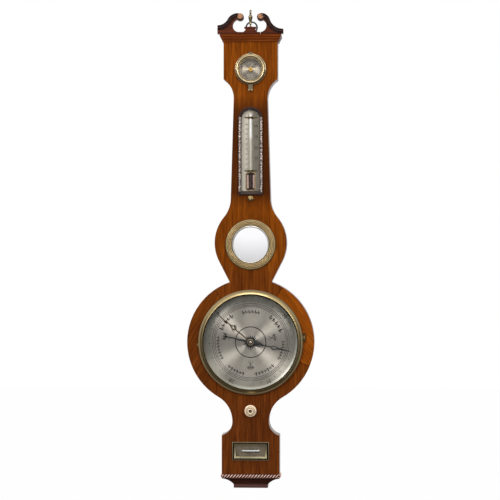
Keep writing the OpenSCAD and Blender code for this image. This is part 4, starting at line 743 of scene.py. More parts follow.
def dial_engraving():
    """Rings, scale of inches in hundredths, starburst round the arbor, sprays and sprigs."""
    marks = Engraving()
    for radius in SCALE_RINGS:
        marks.ring(radius * MM, 0.85 * MM)
    marks.ring(32.6 * MM, 1.8 * MM)
    for hundredth in range(-20, 321):
        angle = FIRST_INCH + INCH * hundredth / 100
        if abs(angle) > SCALE_END:
            continue
        ends = SHORT_MARK if hundredth % 10 else LONG_MARK
        marks.stroke([polar(radius * MM, angle) for radius in ends], 0.16 * MM)
    for number in range(28, 32):
        angle = FIRST_INCH + INCH * (number - 28)
        marks.figure(str(number), *INCH_FIGURES, angle)
        for tenth in range(1, 10):
            between = angle + INCH * tenth / 10
            if number < 31 or between < SCALE_END:
                marks.figure(str(tenth), *TENTH_FIGURES, between)
    for i in range(RAYS):
        angle = 360 * i / RAYS
        tip = polar(RAY_TIPS[i % 2] * MM, angle)
        roots = [polar(RAY_ROOT * MM, angle + side * RAY_SPREAD) for side in (1, -1)]
        marks.fill([roots[0], tip, roots[1]])
    marks.ring(8.2 * MM, 3.4 * MM, 48)
    for angle, width, radius, height in SPRAYS:
        spray(marks, radius, angle, width, height)
    for angle, radius in SPRIGS:
        sprig(marks, radius, angle)
    marks.piece("dial_engraving", DIAL, front("dial_plate"), 0.08 * MM, "case", "silvered", "engraver_wax")


dial_engraving()


# Hands of the weather dial: bars of (across, along, width) points in mm, drawn pointing up
HAND_ANGLE = 102.8
SET_HAND_ANGLE = -50.0
POINTER_BARS = (
    # Body, two wings, two sides of the open lozenge and the tip
    ((0, -4, 7.5), (0.4, 8, 6.6), (1.2, 14, 5.0), (-0.8, 22, 3.4), (0.6, 29, 2.4), (0, 37, 1.5),
     (0.4, 43, 1.9)),
    ((2.6, 8, 2.2), (5.0, 15, 1.9), (3.8, 21, 1.5), (0.6, 29, 0.9)),
    ((-2.6, 8, 2.2), (-4.8, 14, 1.8), (-3.8, 19, 1.4), (-0.8, 26, 0.9)),
    ((0.2, 43, 1.4), (4.8, 49.5, 2.2), (2.4, 55, 1.7), (0.2, 60, 1.5)),
    ((0.2, 43, 1.4), (-3.8, 52, 1.6), (0.2, 60, 1.5)),
    ((0, 59, 2.2), (0.6, 63, 3.2), (-0.4, 67, 2.8), (0, 73, 2.1), (0.3, 86, 1.2)),
    # Tail and the three points of its anchor
    ((0, 4, 6.4), (-0.4, -16, 4.2), (0.8, -26, 3.2), (-0.5, -36, 2.4), (0.3, -47, 1.6), (0, -56, 2.4)),
    ((0, -54, 2.4), (3.0, -56, 2.2), (5.8, -58.6, 1.7), (7.2, -62, 0.9)),
    ((0, -54, 2.4), (-3.0, -56, 2.2), (-5.8, -58.6, 1.7), (-7.2, -62, 0.9)),
    ((0, -52, 1.8), (0, -61, 1.0)),
)
SET_HAND_BARS = (
    # Tail, body, two sides of the open lozenge, its two spikes and the tip
    ((0, -14, 0.9), (0, -9, 2.2), (0, -4.6, 2.6)),
    ((0.2, 4.6, 3.2), (0.3, 10, 3.0), (0, 20, 2.5), (-0.4, 42, 2.1)),
    ((0, 41, 1.5), (3.6, 49, 2.0), (0, 58, 1.5)),
    ((0, 41, 1.5), (-3.6, 49, 2.0), (0, 58, 1.5)),
    ((2.6, 46, 2.6), (7.0, 50, 0.8)),
    ((-2.6, 46, 2.6), (-7.0, 47, 0.8)),
    ((0, 57, 2.2), (0.3, 65, 2.0), (-0.2, 76, 1.8), (0, 92, 1.2)),
)


def hand_shape(bars, degrees, near, far):
    """Flat bars turned clockwise about the dial's centre."""
    angle = math.radians(degrees)
    shape = Shape()
    for bar in bars:
        points = []
        for across, along, _ in bar:
            x = across * math.cos(angle) + along * math.sin(angle)
            z = along * math.cos(angle) - across * math.sin(angle)
            points.append(Vector((DIAL.x + x * MM, DIAL.z + z * MM)))
        shape.add(ribbon(points, [width * MM for _, _, width in bar], near, far))
    return shape


def dial_hands():
    """Blued pointer with its collar and cap, and the brass hand that the knob sets."""
    seat = front("pointer_hand")
    near, far = seat + 1.0 * MM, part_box("pointer_hand")[1].y
    pointer = hand_shape(POINTER_BARS, HAND_ANGLE, near, far)
    boss = [(1.6 * MM, far), (5.0 * MM, far)] + mm([(5.0, 0.0), (3.4, -0.6), (1.6, -0.6)], along=near)
    pointer.add(ring_form(boss, DIAL, 48))
    pointer.piece("pointer_hand_form", "pointer", "blued_steel", "blued_steel", "pointer_hand")
    near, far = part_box("set_hand")[0].y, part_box("set_hand")[1].y
    set_hand = hand_shape(SET_HAND_BARS, SET_HAND_ANGLE, near, far)
    hub = [(4.08 * MM, far), (5.4 * MM, far), (5.4 * MM, near), (4.08 * MM, near)]
    set_hand.add(ring_form(hub, DIAL, 48))
    set_hand.piece("set_hand_form", "set_hand", "brass", "dark_brass", "set_hand")
    collar = mm([(7.0, 0.55), (7.0, 0.2), (6.2, -0.3), (5.2, -0.1), (4.8, 0.55)], along=seat)
    Shape(ring_form(collar, DIAL, 48)).piece("pointer_collar", "pointer", "brass", "collar_grey")
    dome = mm([(2.9, 0.0), (2.7, -0.7), (1.9, -1.2), (0.7, -1.45), (0.1, -1.5)], along=seat)
    Shape(turned(dome, DIAL, 40)).piece("pointer_cap", "pointer", "brass", "rosy_brass")


dial_hands()


# Turned brasswork
MIRROR_STEPS = 144


def rectangle(a_start, a_end, b_start, b_end):
    """Corners of an upright outline, or of the section of a plain ring."""
    return [(a_start, b_start), (a_end, b_start), (a_end, b_end), (a_start, b_end)]


def mirror_dome():
    """Shallow convex mirror."""
    low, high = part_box("mirror_glass")
    reach = half_size("mirror_glass")
    pole = 0.05 * MM
    edge = high.y - 1.2 * MM
    profile = [(pole, high.y), (reach, high.y), (reach, edge)]
    for i in range(23, -1, -1):
        share = i / 24
        profile.append((max(pole, reach * share), edge - (edge - low.y) * 0.5 * (1 - share ** 2)))
    dome = Shape(turned(profile, MIRROR, MIRROR_STEPS))
    dome.piece("mirror_dome", "case", "mirror", "mirror_silver", "mirror_glass")


# Radii of the dial bezel in mm, and the places of its band in front of its back
BEZEL_REACH = 112.25
BEZEL_FOOT = BEZEL_REACH - 4.4
BEZEL_CREST = 103.0
BEZEL_LIP = 100.3
BAND_BACK = -6.3
BAND_TALL = 3.8
BAND_ARC = (math.radians(46), math.radians(66))
BEZEL_STEPS = 160


def bezel_piece():
    """Dial bezel: stepped wall, sloped flange, convex band and dark inner edge, with lug and nib."""
    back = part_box("bezel")[1].y
    reach = BEZEL_REACH * MM
    inner = mm([(0.0, -9.1), (0.0, -9.7), (1.2, -11.2), (2.6, -11.2), (2.6, -9.1)], BEZEL_LIP * MM, back)
    Shape(ring_form(inner, DIAL, BEZEL_STEPS)).piece("bezel_inner_edge", "bezel", "brass", "bezel_shadow")
    wall = mm([(-4.35, 0.0), (0.0, 0.0), (0.0, -2.4), (-0.5, -2.9), (-0.5, -5.0), (-0.9, -5.6),
               (-4.35, -6.15)], reach, back)
    flange = Shape(ring_form(wall, DIAL, BEZEL_STEPS))
    hinge = middle("bezel_hinge_pin")
    foot, head = hinge.z - 3.0 * MM, hinge.z + 3.0 * MM
    flange.add(ring_form(rectangle(1.08 * MM, 2.2 * MM, foot, head), hinge, 32, axis="z"))
    flange.add(box_form((reach - 2.6 * MM, hinge.y, foot), (hinge.x - 1.4 * MM, hinge.y + 1.8 * MM, head)))
    nib = mm([(-2.6, -6.6), (-1.7, -7.5), (1.5, -7.5), (1.5, -2.5), (-1.7, -2.5), (-2.6, -3.4)],
             -reach, DIAL.z)
    flange.add(prism(nib, back - 2.2 * MM, back - 0.1 * MM))
    flange.piece("bezel_flange", "bezel", "brass", "bezel_bronze")
    first, last = BAND_ARC
    band = [(BEZEL_CREST + 0.6, 0.0), (BEZEL_FOOT, 0.0), (BEZEL_FOOT, BAND_BACK + 0.1)]
    for i in range(15):
        angle = first + (last - first) * i / 14
        along = (math.cos(first) - math.cos(angle)) / (math.cos(first) - math.cos(last))
        rise = (math.sin(angle) - math.sin(first)) / (math.sin(last) - math.sin(first))
        band.append((BEZEL_FOOT - (BEZEL_FOOT - BEZEL_CREST) * along, BAND_BACK - BAND_TALL * rise))
    band += [(BEZEL_CREST, -9.1), (BEZEL_CREST + 0.6, -9.0)]
    form = Shape(ring_form(mm(band, along=back), DIAL, BEZEL_STEPS))
    form.piece("bezel_form", "bezel", "brass", "bezel_brass", "bezel")


REEDS = 4
GROOVE_HALF = 0.78


def mirror_bezel_piece():
    """Reeded ring with painted shade in dark grooves and a pale inner lip."""
    inner, outer = 37.5 * MM, half_size("mirror_bezel")
    swell = (FRONT_Y - front("mirror_bezel") - 2.6 * MM) * 0.6
    start = outer - 0.9 * MM
    width = (outer - inner - 4.0 * MM) / REEDS

    def floor(reeds_in):
        """Y of the grooves' floor a number of reeds in from the edge."""
        return FRONT_Y - 1.0 * MM - swell * math.sin(math.pi * (reeds_in + 0.4) / (REEDS + 1))

    lip = mm([(2.2, -0.6), (2.2, -3.4), (1.3, -4.0), (0.3, -3.2), (0.0, -0.6)], inner, FRONT_Y)
    edge = Shape(ring_form(lip, MIRROR, MIRROR_STEPS))
    edge.piece("mirror_inner_lip", "case", "brass", "rim_silver", "mirror_bezel")
    # Dark bands between the reeds: painted shade
    grooves = Shape()
    for i in range(REEDS + 1):
        place = start - width * i
        section = rectangle(-GROOVE_HALF, GROOVE_HALF, 0.2, -1.25)
        grooves.add(ring_form(mm(section, place, floor(i)), MIRROR, MIRROR_STEPS))
    grooves.piece("mirror_bezel_groove_shade", "case", "brass", "dark_brass")
    ring = [(inner + 1.6 * MM, FRONT_Y), (outer, FRONT_Y), (outer, FRONT_Y - 0.5 * MM)]
    for i in range(REEDS):
        for j in range(9):
            t = j / 8
            bead = 1.6 * MM * math.sqrt(max(0.0, 1 - (2 * t - 1) ** 2))
            ring.append((start - width * (i + t), floor(i + t) - bead))
    ring += mm([(3.0, -2.6), (2.4, -2.0), (2.4, -0.6)], inner, FRONT_Y)
    reeded = Shape(ring_form(ring, MIRROR, MIRROR_STEPS))
    reeded.piece("mirror_bezel_form", "case", "brass", "mirror_brass", "mirror_bezel")


HYGRO_VIEW = 23.4 * MM
HYGRO_REACH = 34.0 * MM


def hygro_bezel_piece():
    """Hygrometer bezel: stepped shoulder, broad convex band, inner cone, lift tab, knuckle and hinge lugs."""
    low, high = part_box("hygro_bezel")
    back, near, foot = high.y, low.y, low.z
    profile = [(HYGRO_VIEW + 2.4 * MM, back)]
    profile += mm([(0.0, 0.0), (0.0, -1.4), (-0.6, -2.2), (-1.8, -2.6), (-2.2, -2.3)], HYGRO_REACH, back)
    band = []
    for i in range(13):
        angle = math.radians(20 + 140 * i / 12)
        band.append((5.0 + 3.4 * math.cos(angle), 4.6 - 4.6 * math.sin(angle)))
    band += [(1.2, 3.0), (0.7, 2.2), (0.0, 2.8), (0.0, 3.4), (2.4, 3.4)]
    profile += mm(band, HYGRO_VIEW, near)
    form = Shape(ring_form(profile, HYGRO, 128))
    form.piece("hygro_bezel_form", "hygro_bezel", "brass", "pale_brass", "hygro_bezel")

    top = (HYGRO.z - 32.5 * MM - foot) / MM
    tab = mm([(-5.4, 0.0), (-1.0, 0.0), (-0.6, 2.4), (0.6, 2.4), (1.0, 0.0), (5.4, 0.0), (4.6, 4.0),
              (4.6, top), (-4.6, top), (-4.6, 4.0)], along=foot)
    hinge = Vector((0.0, FRONT_Y - 3.0 * MM, HYGRO.z + 35.6 * MM))
    half = 1.7 * MM
    shape = Shape(prism(tab, back - 2.6 * MM, back - 0.2 * MM),
                  ring_form(rectangle(0.55 * MM, 1.2 * MM, -half, half), hinge, 32, axis="x"),
                  box_form((-half, hinge.y, hinge.z - 4.4 * MM),
                           (half, hinge.y + 1.2 * MM, hinge.z - 0.8 * MM)))
    shape.piece("hygro_bezel_tab", "hygro_bezel", "brass", "tab_brass", "hygro_bezel")
    # Paler brass on the tab's end than on its stem: painted highlight
    tip = Shape()
    for side in (-1, 1):
        outline = [(side * 4.6, 0.2), (side * 1.4, 0.2), (side * 1.4, 2.6), (side * 4.4, 2.6)]
        tip.add(prism(mm(outline, along=foot), back - 2.9 * MM, back - 2.5 * MM))
    tip.piece("hygro_bezel_tab_highlight", "hygro_bezel", "brass", "pale_brass")
    lug = 1.2 * MM
    lugs = Shape()
    for start, end in ((2.0 * MM, 3.4 * MM), (-3.4 * MM, -2.0 * MM)):
        lugs.add(turned([(lug, start), (lug, end)], hinge, 32, axis="x"))
        lugs.add(box_form((start, hinge.y, hinge.z - lug), (end, FRONT_Y, hinge.z + lug)))
    lugs.add(turned(mm([(0.45, -2.3), (0.45, 2.3)]), hinge, 24, axis="x"))
    lugs.piece("hygro_hinge_lugs", "case", "brass", "tab_brass", "hygro_hinge")


mirror_dome()
bezel_piece()
mirror_bezel_piece()
hygro_bezel_piece()


# Pediment
TOP_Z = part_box("cornice")[1].z
SCROLL_TOP = TOP_Z + 43.4 * MM
SCROLL_X = 22.0 * MM
NECK_END_X = -69.2 * MM
# Place and radius of each bend and height of its outer end, in mm
LEFT_NECK = (27.0, 24.0, 18.0)
RIGHT_NECK = (23.5, 19.0, 9.8)
CORNICE_OUT = 7.9
# Offset in mm and share of the height of points across the ribs of a swan neck
RIBS = ((0.0, 0.0), (0.0, 0.8), (0.4, 1.0), (1.4, 1.0), (1.9, 0.8), (2.2, 0.5), (2.7, 0.45), (3.1, 0.75),
        (3.6, 0.85), (4.4, 0.8), (4.8, 0.45), (5.3, 0.3), (5.9, 0.5), (6.5, 0.5), (7.0, 0.3), (7.4, 0.0))
RIB_STRETCH = 1.36
# Shares of a rosette's radius and depth
ROSETTE = ((1.0, 1.0), (1.0, 0.45), (0.9, 0.2), (0.76, 0.12), (0.62, 0.3), (0.5, 0.45), (0.4, 0.4),
           (0.34, 0.15), (0.2, 0.0), (0.04, 0.0))
ROSETTE_HOLLOW = ((0.66, 0.5), (0.66, 0.3), (0.36, 0.38), (0.36, 0.5))
ROSETTE_REACH = 5.65 * MM


def cornice_piece():
    """Cornice of band, ovolo, fillet, cove and foot, mitred round the front of the case."""
    low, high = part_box("cornice")
    half = high.x - CORNICE_OUT * MM
    face = low.y + CORNICE_OUT * MM
    ovolo = [Vector((5.7, -5.0)) + polar(1.7, 90 + a) for a in (20, 45, 70, 90)]
    cove = [Vector((5.4, -11.3)) + polar(1.7, -a) for a in (15, 40, 65, 90)]
    section = [(0.0, 0.0), (CORNICE_OUT, 0.0), (CORNICE_OUT, -4.6), (7.4, -5.0), *ovolo, (5.4, -6.9),
               (5.4, -9.6), *cove, (3.7, -12.2), (2.6, -12.8), (2.6, -15.6), (0.0, -15.6)]
    verts = []
    for side, mitred in ((-1, False), (-1, True), (1, True), (1, False)):
        for out, z in mm(section, along=high.z):
            verts.append((side * (half + out), face - out if mitred else high.y, z))
    form = Shape((verts, tube_faces(4, len(section))))
    form.piece("cornice_form", "case", "dark_mahogany", "cornice_wood", "cornice")


def neck_path(neck, side):
    """Top edge of a swan neck from its outer end to its rosette."""
    bend_x, bend_r, end_h = [v * MM for v in neck]
    bend = Vector((-bend_x, SCROLL_TOP - bend_r))
    end = Vector((NECK_END_X, TOP_Z + end_h))
    apart = (bend.x - end.x) ** 2 + (end.y - bend.y) ** 2
    dip_r = (apart - bend_r ** 2) / (2 * (bend_r - end.y + bend.y))
    dip = end + Vector((0.0, dip_r))
    heading = dip - bend
    meet = math.degrees(math.atan2(heading.y, heading.x))
    path = arc_points(dip, dip_r, -90.0, meet - 180.0, 24) + arc_points(bend, bend_r, meet, 88.0, 24)[1:]
    if side > 0:
        path = [Vector((-p.x, p.y)) for p in path[::-1]]
    return path


def swan_piece():
    """Moulded top edges of the swan necks: three ribs with hollows between them."""
    low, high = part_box("swan_mouldings")
    section = [(-offset * RIB_STRETCH * MM, high.y - (high.y - low.y) * rise) for offset, rise in RIBS]
    shape = Shape(moulded(neck_path(LEFT_NECK, -1), section), moulded(neck_path(RIGHT_NECK, 1), section))
    shape.piece("swan_neck_ribs", "case", "dark_mahogany", "dark_wood", "swan_mouldings")


def rosette_piece():
    """Turned rosettes with a raised rim, a hollow and a button, on the rounded ends of the necks."""
    low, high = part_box("scroll_rosettes")
    level = (low.z + high.z) / 2
    board = front("pediment_board")

    def sized(shares):
        return [(ROSETTE_REACH * r, low.y + (high.y - low.y) * deep) for r, deep in shares]
    turnings, hollows, ends = Shape(), Shape(), Shape()
    for side in (-1, 1):
        centre = (side * SCROLL_X, 0.0, level)
        turnings.add(turned(sized(ROSETTE), centre, 48))
        hollows.add(ring_form(sized(ROSETTE_HOLLOW), centre, 40))
        end = (side * (SCROLL_X + 0.3 * MM), 0.0, level - 2.4 * MM)
        ends.add(turned(mm([(6.9, 0.0), (6.9, -0.4), (6.2, -0.8), (0.1, -0.8)], along=board), end, 48))
    turnings.piece("scroll_rosette_turnings", "case", "bone", "peach_bone", "scroll_rosettes")
    hollows.piece("scroll_rosette_hollows", "case", "bone", "tan_bone")
    ends.piece("scroll_ends", "case", "dark_mahogany", "dark_wood")


cornice_piece()
swan_piece()
rosette_piece()


# Rope moulding round the base: pale strands wound about a dark core
ROPE_PITCH = 13.0 * MM
STRAND_OUT = 0.64
STRAND_THICK = 0.25
STRAND_SIDES = 10


def strand(start, end, radius, phase, lean):
    """One strand that winds about the line from start to end."""
    core, thick = radius * STRAND_OUT, radius * STRAND_THICK
    start = Vector(start)
    along = Vector(end) - start
    length = along.length
    along.normalize()
    side = along.cross(Vector((0, 0, 1))).normalized()
    up = side.cross(along)
    rows = max(12, int(length / ROPE_PITCH * 18))
    verts = []
    for i in range(rows + 1):
        run = length * i / rows
        angle = lean * TURN * run / ROPE_PITCH + phase
        out = side * math.cos(angle) + up * math.sin(angle)
        turn = (side * -math.sin(angle) + up * math.cos(angle)) * lean
        ahead = (along + turn * (TURN * core / ROPE_PITCH)).normalized()
        across = out.cross(ahead)
        centre = start + along * run + out * core
        for j in range(STRAND_SIDES):
            place = TURN * j / STRAND_SIDES
            verts.append(centre + out * (thick * math.cos(place)) + across * (thick * math.sin(place)))
    return verts, tube_faces(rows + 1, STRAND_SIDES)


def rope_piece():
    """Rope along the front and both sides of the base."""
    low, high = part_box("rope_moulding")
    radius = (high.z - low.z) / 2
    y = low.y + radius
    left, right = low.x + radius, high.x - radius
    back = high.y - 4.0 * MM
    line = (low.z + high.z) / 2 - 0.45 * MM
    front_run = ((left, y), (right, y), 1)
    side_runs = (((left, back), (left, y), -1), ((right, back), (right, y), 1))
    pale = Shape()
    for start, end, lean in (front_run, *side_runs):
        for phase in (0.0, math.pi):
            pale.add(strand((*start, line), (*end, line), radius, phase, lean))
    inset = radius * 0.5
    foot, head = low.z + inset, high.z - inset
    dark = Shape(box_form((left, y, low.z), (right, high.y, high.z)),
                 box_form((left, low.y + inset, foot), (right, y, head)))
    for x in (left, right):
        dark.add(box_form((x - radius + inset, y, foot), (x + radius - inset, high.y, head)))
    pale.piece("rope_strands", "case", "rope_inlay", "rope_wood", "rope_moulding")
    dark.piece("rope_core", "case", "rope_inlay", "dark_wood", "rope_moulding")


rope_piece()


# Spirit level

def level_bars(insets, y_outer, y_inner):
    """Four mitred bars between two rectangles, inset in mm from the frame's edge."""
    half_x = half_size("level_frame") - 1.4 * MM
    half_z = half_size("level_frame", 2) - 1.2 * MM
    outer, inner = insets
    verts = []
    for inset, y in ((outer, FRONT_Y), (outer, y_outer), (inner, y_inner), (inner, FRONT_Y)):
        for side, up in ((-1, -1), (1, -1), (1, 1), (-1, 1)):
            verts.append((LEVEL.x + side * (half_x - inset * MM), y, LEVEL.z + up * (half_z - inset * MM)))
    return verts, tube_faces(4, 4, closed=True)


def level_piece():
    """Level frame: thin outer lip, dark sloping channel and a raised inner rail."""
    near = front("level_frame")
    rails = Shape(level_bars((0.0, 1.0), FRONT_Y - 1.8 * MM, FRONT_Y - 2.0 * MM),
                  level_bars((4.2, 7.8), near + 1.4 * MM, FRONT_Y - 1.7 * MM))
    rails.piece("level_frame_rails", "case", "brass", "level_brass", "level_frame")
    channel = Shape(level_bars((1.0, 3.5), FRONT_Y - 1.4 * MM, near + 0.3 * MM),
                    level_bars((3.5, 4.2), near + 0.3 * MM, near + 2.2 * MM))
    channel.piece("level_frame_channel", "case", "brass", "dark_brass", "level_frame")


def vial_piece():
    """Glass vial with rounded ends."""
    low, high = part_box("level_vial")
    radius = (high.z - low.z) / 2
    centre = (0.0, (low.y + high.y) / 2, (low.z + high.z) / 2)
    profile = []
    for i in range(9):
        angle = math.radians(90 * i / 8)
        profile.append((max(0.05 * MM, radius * math.sin(angle)), low.x + radius * (1 - math.cos(angle))))
    profile += [(r, -p) for r, p in profile[::-1]]
    tube = Shape(turned(profile, centre, 40, axis="x"))
    tube.piece("level_vial_tube", "case", "glass", "vial_glass", "level_vial")


level_piece()
vial_piece()


# Set knob: shares of its radius and height, and the radius and place of its pulley's points in mm
KNOB_REACH = 12.8 * MM
SPINDLE = 2.5 * MM
KNOB_RINGS = ((0.02, 0.66), (0.27, 0.7), (0.29, 0.94), (0.33, 1.0), (0.4, 1.0), (0.45, 0.95), (0.47, 0.7),
              (0.53, 0.66), (0.56, 0.86), (0.6, 0.88), (0.66, 0.8), (0.68, 0.6), (0.7, 0.4), (0.74, 0.34),
              (0.84, 0.38), (0.94, 0.35), (1.0, 0.25), (1.0, 0.14), (0.97, 0.06), (0.8, 0.0))
KNOB_PULLEY = ((2.5, 0.0), (9.6, 0.0), (9.6, 0.75), (7.35, 1.75), (7.35, 3.25), (9.6, 4.25), (9.6, 5.0),
               (2.5, 5.0))
KNOB_BUTTON = ((0.265, 0.6), (0.265, -1.0), (0.15, -1.8), (0.02, -2.0))
KNOB_GROOVES = ((0.475, 0.525, 0.69), (0.7, 0.745, 0.4))


def set_knob_piece():
    """Bone knob with turned rings round a dark centre, on its spindle and pulley."""
    low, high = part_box("set_knob")
    centre = middle("set_knob")
    back = FRONT_Y - 0.3 * MM
    tall = back - low.y
    profile = [(KNOB_REACH * r, back - tall * h) for r, h in KNOB_RINGS]
    profile.append((SPINDLE, back))
    profile += mm(KNOB_PULLEY, along=high.y - 8.0 * MM)
    profile += [(SPINDLE, high.y), (0.3 * MM, high.y)]
    Shape(turned(profile, centre, 96)).piece("set_knob_turning", "set_knob", "bone", "bone", "set_knob")
    floor = back - tall * KNOB_RINGS[0][1]
    button = [(KNOB_REACH * r, floor + h * MM) for r, h in KNOB_BUTTON]
    eye = Shape(turned(button, centre, 32))
    for inner, outer, share in KNOB_GROOVES:
        top = back - tall * share
        eye.add(ring_form(rectangle(KNOB_REACH * inner, KNOB_REACH * outer, top + 0.5 * MM, top), centre, 64))
    eye.piece("set_knob_eye", "set_knob", "bone", "dark_bone")


set_knob_piece()


# Thermometer
THERMO_Y = front("thermo_plate")
THERMO_LOW, THERMO_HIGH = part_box("thermo_box")
TUBE_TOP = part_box("thermo_tube")[1].z
SPRING_Z = THERMO_HIGH.z - half_size("thermo_box")
# Side strips: rows and sides of their mesh, place, half width and height in mm
STRIP_ROWS = 260
STRIP_SIDES = 8
STRIP_X = 23.2
STRIP_HALF = 2.4
STRIP_TALL = 1.3
DIVISIONS = 51
DIVISION_STEP = 2.13
NUMBERS = ((90, 0.0), (70, 22.6), (50, 45.0), (30, 68.0))
CLIP_UPPER = [(14.2, 1.0), (11.8, 2.0), (8.5, 1.6), (5.5, 2.0), (3.5, 2.7)]
CLIP_LOWER = [(3.5, -2.7), (5.5, -2.2), (8.5, -1.4), (11.8, -0.9), (14.2, 0.2)]


def thermometer_strips():
    """Half-round strips of glossy glass edge whose surfaces wave a little, in a pale lavender metal that is
    painted sheen.
    """
    low, high = THERMO_LOW.z + 5.5 * MM, SPRING_Z + 4.0 * MM
    shape = Shape()
    for side in (-1, 1):
        verts = []
        for i in range(STRIP_ROWS + 1):
            z = low + (high - low) * i / STRIP_ROWS
            wave = math.sin(i * 1.9) * 0.5 + math.sin(i * 0.73 + 1.0) * 0.35 + math.sin(i * 3.1 + side) * 0.3
            for j in range(STRIP_SIDES + 1):
                angle = math.pi * j / STRIP_SIDES
                x = side * (STRIP_X - STRIP_HALF * math.cos(angle) * (1 + 0.05 * wave)) * MM
                y = THERMO_LOW.y + (0.2 - (STRIP_TALL + 0.25 * wave) * math.sin(angle)) * MM
                verts.append((x, y, z))
        shape.add((verts, tube_faces(STRIP_ROWS + 1, STRIP_SIDES + 1)))
    shape.piece("thermometer_side_strips", "thermometer", "dark_mahogany", "lavender_sheen")


def thermometer_bevel():
    """Sloping lower edge of the thermometer's glass."""
    edge = mm([(-21.6, 1.6), (21.6, 1.6)], along=THERMO_LOW.z)
    edge += mm([(18.6, 1.4), (-18.6, 1.4)], along=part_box("thermo_plate")[0].z)
    shape = Shape(prism(edge, THERMO_LOW.y - 0.8 * MM, THERMO_LOW.y + 0.2 * MM))
    shape.piece("thermometer_foot_bevel", "thermometer", "dark_mahogany", "bevel_grey")


def tube_backing():
    """Pale strip let into the plate behind the tube, between two dark lines of painted shadow."""
    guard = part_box("thermo_bulb_guard")[1].z
    sunk = THERMO_Y + 0.2 * MM
    edge = rectangle(-3.7 * MM, 3.7 * MM, guard, TUBE_TOP + 1.5 * MM)
    strip = Shape(prism(edge, THERMO_Y - 0.3 * MM, sunk))
    strip.piece("thermometer_tube_backing", "thermometer", "silvered", "ivory_strip")
    # Dark lines at both sides of the tube: painted shadow
    lines = Shape()
    for left in (-4.55, 3.75):
        edge = rectangle(left * MM, (left + 0.8) * MM, guard, TUBE_TOP + 2.0 * MM)
        lines.add(prism(edge, THERMO_Y - 0.15 * MM, sunk))
    lines.piece("thermometer_tube_shadow_lines", "thermometer", "silvered", "worn_wax")


def thermometer_scale():
    """Divisions on the left of the tube and plain numbers on its right."""
    marks = Engraving()
    first = TUBE_TOP - 20.7 * MM
    for i in range(DIVISIONS):
        left, right, width = (-8.4, -5.8, 0.45) if i % 5 else (-11.4, -5.6, 1.2)
        drop = -i * DIVISION_STEP
        marks.stroke(mm([(left, drop), (right, drop)], along=first), width * MM)
    for number, drop in NUMBERS:
        marks.text(str(number), 8.6 * MM, (11.4 * MM, first - (5.0 + drop) * MM))
        marks.stroke(mm([(7.6, -9.8 - drop), (16.0, -9.8 - drop)], along=first), 0.35 * MM)
    marks.piece("thermometer_scale", (0.0, 0.0, 0.0), THERMO_Y, 0.08 * MM,
                "thermometer", "silvered", "worn_wax")


def clip_pieces():
    """Bow-shaped brass clips with pointed ends, and a sleeve over the tube."""
    low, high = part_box("thermo_clips")
    half = 2.0 * MM
    right = CLIP_LOWER + CLIP_UPPER
    left = [(-x, h) for part in (CLIP_UPPER, CLIP_LOWER) for x, h in part[::-1]]
    inner, outer = [arc_points((0.0, THERMO_Y - 3.2 * MM), r * MM, 180.0, 360.0, 16) for r in (3.1, 3.9)]
    shape = Shape()
    for z in (low.z + half, high.z - half):
        shape.add(prism(mm(right + left, along=z), THERMO_Y - 0.8 * MM, THERMO_Y))
        shape.add(prism(inner + outer[::-1], z - half, z + half, upright=True))
    # Dark brass on the clips: painted shade
    shape.piece("thermometer_bow_clips", "thermometer", "brass", "dark_brass", "thermo_clips")


def bulb_glints():
    """Peach metal strips at the sides of the bulb's window, painted reflections of the light."""
    low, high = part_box("thermo_bulb_guard")
    shape = Shape()
    for side in (-1, 1):
        rail = [(side * 6.4 * MM, low.z + 5.5 * MM), (side * 6.6 * MM, high.z - 6.0 * MM)]
        shape.add(ribbon(rail[::side], [3.6 * MM, 4.2 * MM], THERMO_Y + 0.4 * MM, THERMO_Y + 1.2 * MM))
    shape.piece("thermometer_bulb_glints", "thermometer", "silvered", "peach_reflection_metal")


thermometer_strips()
thermometer_bevel()
tube_backing()
thermometer_scale()
clip_pieces()
bulb_glints()


# Hygrometer dial
HYGRO_RINGS = ((20.8, 0.4), (17.2, 0.35), (10.0, 0.3))
HYGRO_DIVISIONS = 72
HYGRO_FIGURES = (3.4, 14.2)
HYGRO_BAR = ((3.0, 0.0), (7.0, 0.2), (11.0, -0.1), (15.0, 0.0), (18.4, 0.0))
HYGRO_BAR_WIDTHS = (2.4, 2.8, 1.9, 2.3, 0.8)


def hygrometer_marks():
    """Rings, divisions and plain numbers."""
    marks = Engraving()
    for radius, width in HYGRO_RINGS:
        marks.ring(radius * MM, width * MM)
    for i in range(HYGRO_DIVISIONS):
        angle = 360.0 * i / HYGRO_DIVISIONS
        marks.stroke([polar((18.6 if i % 6 else 17.2) * MM, angle), polar(20.8 * MM, angle)], 0.3 * MM)
    for i in range(8):
        marks.figure(str((i * 10 + 50) % 80), *HYGRO_FIGURES, i * 45.0)
    marks.piece("hygrometer_marks", HYGRO, front("hygro_dial"), 0.06 * MM, "case", "silvered", "worn_wax")


